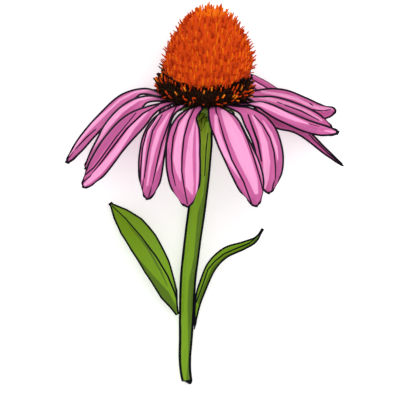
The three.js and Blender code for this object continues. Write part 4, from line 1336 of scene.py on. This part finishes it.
class CONEFLOWER_OT_cup(Operator):
    """Makes the green cup under the head, with its bracts"""
    bl_idname = "coneflower.cup"
    bl_label = "Bract cup"

    def execute(self, context):
        settings = context.scene.coneflower_greens
        rings = [(h, max(r, LEAST_RADIUS)) for h, r in reversed(CUP_PROFILE)]
        points = turned_points(rings, HEAD_SIDES, no_sway)
        shape = points.shape[:2]
        distances, pens = no_lines(shape)
        # Painted shade: the whole cup takes the shaded green, as it sits under the head.
        tone = np.dstack([np.full(shape, -FAR), np.full(shape, FAR), np.full(shape, FAR)])
        cup = mesh_object("bract_cup_green", points, turned_faces(len(rings), HEAD_SIDES),
                          {"crease": distances, "pen": pens, "tone": tone, "grain": points})
        bracts = [bract_object(row, row["turn"] + 360 * k / row["count"])
                  for row in BRACT_ROWS for k in range(row["count"])]
        with context.temp_override(active_object=cup, selected_editable_objects=[cup] + bracts):
            bpy.ops.object.join()
        skin = green_material("bract_skin", settings, BRACT_STRETCH, settings.bract_margin)
        cup.data.materials.append(skin)
        piece_done(cup, "cup", "bract_cup")
        return {"FINISHED"}


STEM_SIDES, STEM_ROWS = 72, 150
STEM_CUT_TURN = 2.6
# The drawn creases lie on the stem's upper side alone, down to a little under its flanks.
STEM_DRAWN_FROM, STEM_NO_PEN = -0.05, -0.5
# The dark rib is this many times narrower below the flanks. The cut end has a dark rim of its own, and
# the last value is the depth of the band of painted light at the stem's top.
STEM_UNDER_NARROWER, STEM_CUT_RIM, STEM_PAINTED_LIGHT_DEPTH = 4, 0.1, 0.44


def stem_way():
    """The stem's middle, climbing from its cut end and bending into the head's axis under the cup."""
    bottom, top = STEM_WAY[0][1], STEM_TOP_DOWN
    points = []
    for across, down, _ in STEM_WAY:
        climbed = (bottom - down) / (bottom - top)
        points.append(drawn(across, down, STEM_FOOT_Z + STEM_CLIMB * climbed + STEM_SWEEP * climbed ** 2))
    points += [on_head(0, 0, STEM_TOP_LEVEL - STEM_NECK), on_head(0, 0, STEM_TOP_LEVEL)]
    return Way(points, (0, 0, 1))


def stem_points(way, share, angle, base):
    """The stem's ribbed skin, with its cut end ragged and its underside resting on the floor."""
    radius = base * (1 + STEM_RIB_DEPTH * np.cos(STEM_RIBS * angle))
    points = way.read("at", share)
    points = points + way.read("side", share) * (radius * np.cos(angle))[..., None]
    points = points + way.read("up", share) * (radius * np.sin(angle))[..., None]
    around = angle[0]
    points[0, :, 1] += STEM_CUT_SLANT * np.cos(around + STEM_CUT_TURN) + STEM_CUT_NOTCH * np.cos(3 * around)
    points[..., 2] = np.maximum(points[..., 2], 0)
    return points


def stem_tone(way, share, angle, base, sheet):
    """How far into the painted light at its top the stem is, how deep in its shaded side, and how far from
    its dark ribs.
    """
    line = np.array(STEM_SHADE)
    shade = (sheet[..., 0] - np.interp(sheet[..., 1], line[:, 1], line[:, 0])) * UNIT
    flank = base * (1 - np.abs(np.cos(angle)))
    below = STEM_UNDER_NARROWER * base * np.abs(np.sin(angle))
    edge = np.where(np.sin(angle) >= 0, flank, below)
    edge = np.minimum(edge, STEM_CUT_RIM + share * way.length)
    # Painted light on the stem's top, growing upwards.
    pale = (STEM_PAINTED_LIGHT_FROM - sheet[..., 1]) / STEM_PAINTED_LIGHT_RUN - 0.5
    return np.stack([STEM_PAINTED_LIGHT_DEPTH * pale, shade, edge], axis=-1)


class CONEFLOWER_OT_stem(Operator):
    """Makes the ribbed stem, from its ragged cut end to the cup"""
    bl_idname = "coneflower.stem"
    bl_label = "Stem"

    def execute(self, context):
        settings = context.scene.coneflower_greens
        way = stem_way()
        share, angle = np.meshgrid(np.linspace(0, 1, STEM_ROWS),
                                   np.linspace(0, 2 * math.pi, STEM_SIDES, endpoint=False), indexing="ij")
        radii = [radius for _, _, radius in STEM_WAY]
        along = [i / (len(STEM_WAY) + 1) for i in range(len(STEM_WAY))]
        base = np.interp(share, along, radii)
        points = stem_points(way, share, angle, base)
        sheet = on_sheet(points)
        distances, pens = pen_lines(STEM_CREASES, sheet)
        pens = np.where((np.sin(angle) > STEM_DRAWN_FROM)[..., None], pens, STEM_NO_PEN)
        tone = stem_tone(way, share, angle, base, sheet)
        grain = np.stack([angle * base, share * way.length, share], axis=-1)
        obj = mesh_object("ribbed_stem", points, turned_faces(STEM_ROWS, STEM_SIDES),
                          {"crease": distances, "pen": pens, "tone": tone, "grain": grain})
        obj.data.materials.append(green_material("stem_skin", settings, STEM_STRETCH, settings.stem_margin))
        piece_done(obj, "stem", "stem")
        return {"FINISHED"}


LEAF_ROWS, LEAF_ACROSS = 96, 41
LEAF_GROOVE, LEAF_GROOVE_SPREAD = 0.15, 0.4
LEAF_ROOT_SHARE, LEAF_FOLD_SOFT = 0.2, 0.004
# The dark rim is this much narrower at a leaf's root, and full again between these shares of its length.
LEAF_RIM_LESS, LEAF_RIM_FULL = 0.5, (0.02, 0.2)


def leaf_blade(spec, thickness):
    """A leaf as a bare sheet, folded along its midrib, with a narrow root."""
    way = Way([drawn(*point) for point in spec["way"]], spec["up"])
    shares, widths = zip(*spec["outline"])

    def half(share):
        grown_out = smoothstep(share, 0, LEAF_BASE_TAPER)
        root = spec["base_half"] * (LEAF_ROOT_SHARE + (1 - LEAF_ROOT_SHARE) * grown_out)
        return np.maximum(root, spec["width"] / 2 * np.interp(share, shares, widths))

    def relief(share, across):
        rib = np.sqrt(across ** 2 + LEAF_FOLD_SOFT) - LEAF_FOLD_LEVEL
        return spec["fold"] * np.interp(share, shares, widths) * rib

    return Blade(way, half, relief, np.ones_like, LEAF_ROWS, LEAF_ACROSS, thickness)


class CONEFLOWER_OT_leaves(Operator):
    """Makes the two leaves, each folded along its midrib"""
    bl_idname = "coneflower.leaves"
    bl_label = "Leaves"

    def execute(self, context):
        settings = context.scene.coneflower_greens
        material = green_material("leaf_skin", settings, LEAF_STRETCH, settings.margin)
        for name, spec in LEAVES.items():
            blade = leaf_blade(spec, mm(settings.leaf_thickness))
            distances, pens = pen_lines(spec["creases"], blade.sheet)
            shade = band_depth(spec["shades"], blade.sheet)
            blade.press(sunk(distances, pens, LEAF_GROOVE, LEAF_GROOVE_SPREAD))
            blade.edge += LEAF_RIM_LESS * (1 - smoothstep(blade.share, *LEAF_RIM_FULL))
            obj = blade.object("leaf_blade_" + name, distances, pens, np.full(shade.shape, -FAR), shade, True)
            obj.data.materials.append(material)
            piece_done(obj, "leaf", "leaf_" + name)
        return {"FINISHED"}


# Stage, in metres, but for the width of the camera's sensor and the floor's grain, in millimetres
FLOOR_SIDE = 3
LAMP_PLACE, LAMP_WIDTH = Vector((0.2, 0.4, 1.3)), 0.9
SENSOR_WIDTH = 36
NEAREST, FARTHEST = 0.1, 50
FLOOR_MOTTLE, FLOOR_MOTTLE_STRENGTH, FLOOR_MOTTLE_PER_MM = "#E8E8E8", 0.04, 0.03
FLOOR_ROUGH, FLOOR_GRAIN_PER_MM, FLOOR_GRAIN_HEIGHT = 0.9, 0.4, 0.02


def floor_material(settings):
    """Light table: opal acrylic, matt and nearly even, which gives off a little light itself."""
    material, tree = new_material("opal_acrylic_light_table")
    place = add(tree, PLACE, take="Object")
    cloud = add(tree, NOISE, named={"Vector": place, "Scale": FLOOR_MOTTLE_PER_MM / MM})
    mottle = add(tree, MATH, cloud, FLOOR_MOTTLE_STRENGTH, operation="MULTIPLY")
    tint = coated(tree, settings.floor, (mottle, linear(FLOOR_MOTTLE)))
    fine = add(tree, NOISE, named={"Vector": place, "Scale": FLOOR_GRAIN_PER_MM / MM})
    shader = finish_surface(tree, tint, FLOOR_ROUGH, fine, FLOOR_GRAIN_HEIGHT)
    shader.inputs["Emission Color"].default_value = settings.floor
    shader.inputs["Emission Strength"].default_value = settings.glow
    return material


class CONEFLOWER_OT_stage(Operator):
    """Makes the pale floor, the soft lights and the camera that looks straight down"""
    bl_idname = "coneflower.stage"
    bl_label = "Stage"

    def execute(self, context):
        settings = context.scene.coneflower_stage
        bpy.ops.mesh.primitive_plane_add(size=FLOOR_SIDE, location=(0, 0, 0))
        floor = context.object
        floor.name = "floor"
        floor.data.materials.append(floor_material(settings))
        self.light_up(context, settings)
        self.place_camera(context, settings)
        return {"FINISHED"}

    def light_up(self, context, settings):
        """White light from all round and one large soft lamp."""
        world = bpy.data.worlds.new("studio")
        world.use_nodes = True
        background = world.node_tree.nodes["Background"]
        background.inputs["Color"].default_value = (1, 1, 1, 1)
        background.inputs["Strength"].default_value = settings.ambient
        context.scene.world = world
        lamp = bpy.data.lights.new("key", "AREA")
        lamp.shape = "DISK"
        lamp.size = LAMP_WIDTH
        lamp.energy = settings.key
        key = bpy.data.objects.new("key", lamp)
        key.location = LAMP_PLACE
        key.rotation_euler = (-LAMP_PLACE).to_track_quat("-Z", "Y").to_euler()
        context.scene.collection.objects.link(key)
        context.scene.view_settings.view_transform = "Standard"

    def place_camera(self, context, settings):
        """A long lens straight above, so that the whole drawing's sheet fills the frame."""
        camera = bpy.data.cameras.new("camera")
        camera.lens = settings.focal
        camera.sensor_width = SENSOR_WIDTH
        camera.clip_start, camera.clip_end = NEAREST, FARTHEST
        view = bpy.data.objects.new("camera", camera)
        field = SHEET_SIDE * UNIT * MM
        over = drawn(*SHEET_CENTRE, mm(settings.scale_height)) * MM
        view.location = Vector(over) + Vector((0, 0, field * settings.focal / SENSOR_WIDTH))
        context.scene.collection.objects.link(view)
        context.scene.camera = view


GROUPS = {
    "coneflower_petals": ConeflowerPetals,
    "coneflower_cone": ConeflowerCone,
    "coneflower_skirt": ConeflowerSkirt,
    "coneflower_greens": ConeflowerGreens,
    "coneflower_stage": ConeflowerStage,
}
OPERATORS = (CONEFLOWER_OT_petals, CONEFLOWER_OT_cone, CONEFLOWER_OT_skirt, CONEFLOWER_OT_cup,
             CONEFLOWER_OT_stem, CONEFLOWER_OT_leaves, CONEFLOWER_OT_stage)


class CONEFLOWER_PT_panel(Panel):
    """Lists the steps and the settings"""
    bl_idname = "CONEFLOWER_PT_panel"
    bl_label = "Coneflower"
    bl_space_type = "VIEW_3D"
    bl_region_type = "UI"
    bl_category = "Coneflower"

    def draw(self, context):
        for operator in OPERATORS:
            self.layout.operator(operator.bl_idname)
        for name, group in GROUPS.items():
            box = self.layout.box()
            for key in group.__annotations__:
                box.prop(getattr(context.scene, name), key)


CLASSES = (*GROUPS.values(), *OPERATORS, CONEFLOWER_PT_panel)


def register():
    for made in CLASSES:
        bpy.utils.register_class(made)
    for name, group in GROUPS.items():
        setattr(bpy.types.Scene, name, PointerProperty(type=group))


def unregister():
    for name in GROUPS:
        delattr(bpy.types.Scene, name)
    for made in reversed(CLASSES):
        bpy.utils.unregister_class(made)


def main():
    register()
    for operator in OPERATORS:
        family, step = operator.bl_idname.split(".")
        getattr(getattr(bpy.ops, family), step)()


if __name__ == "__main__":
    main()
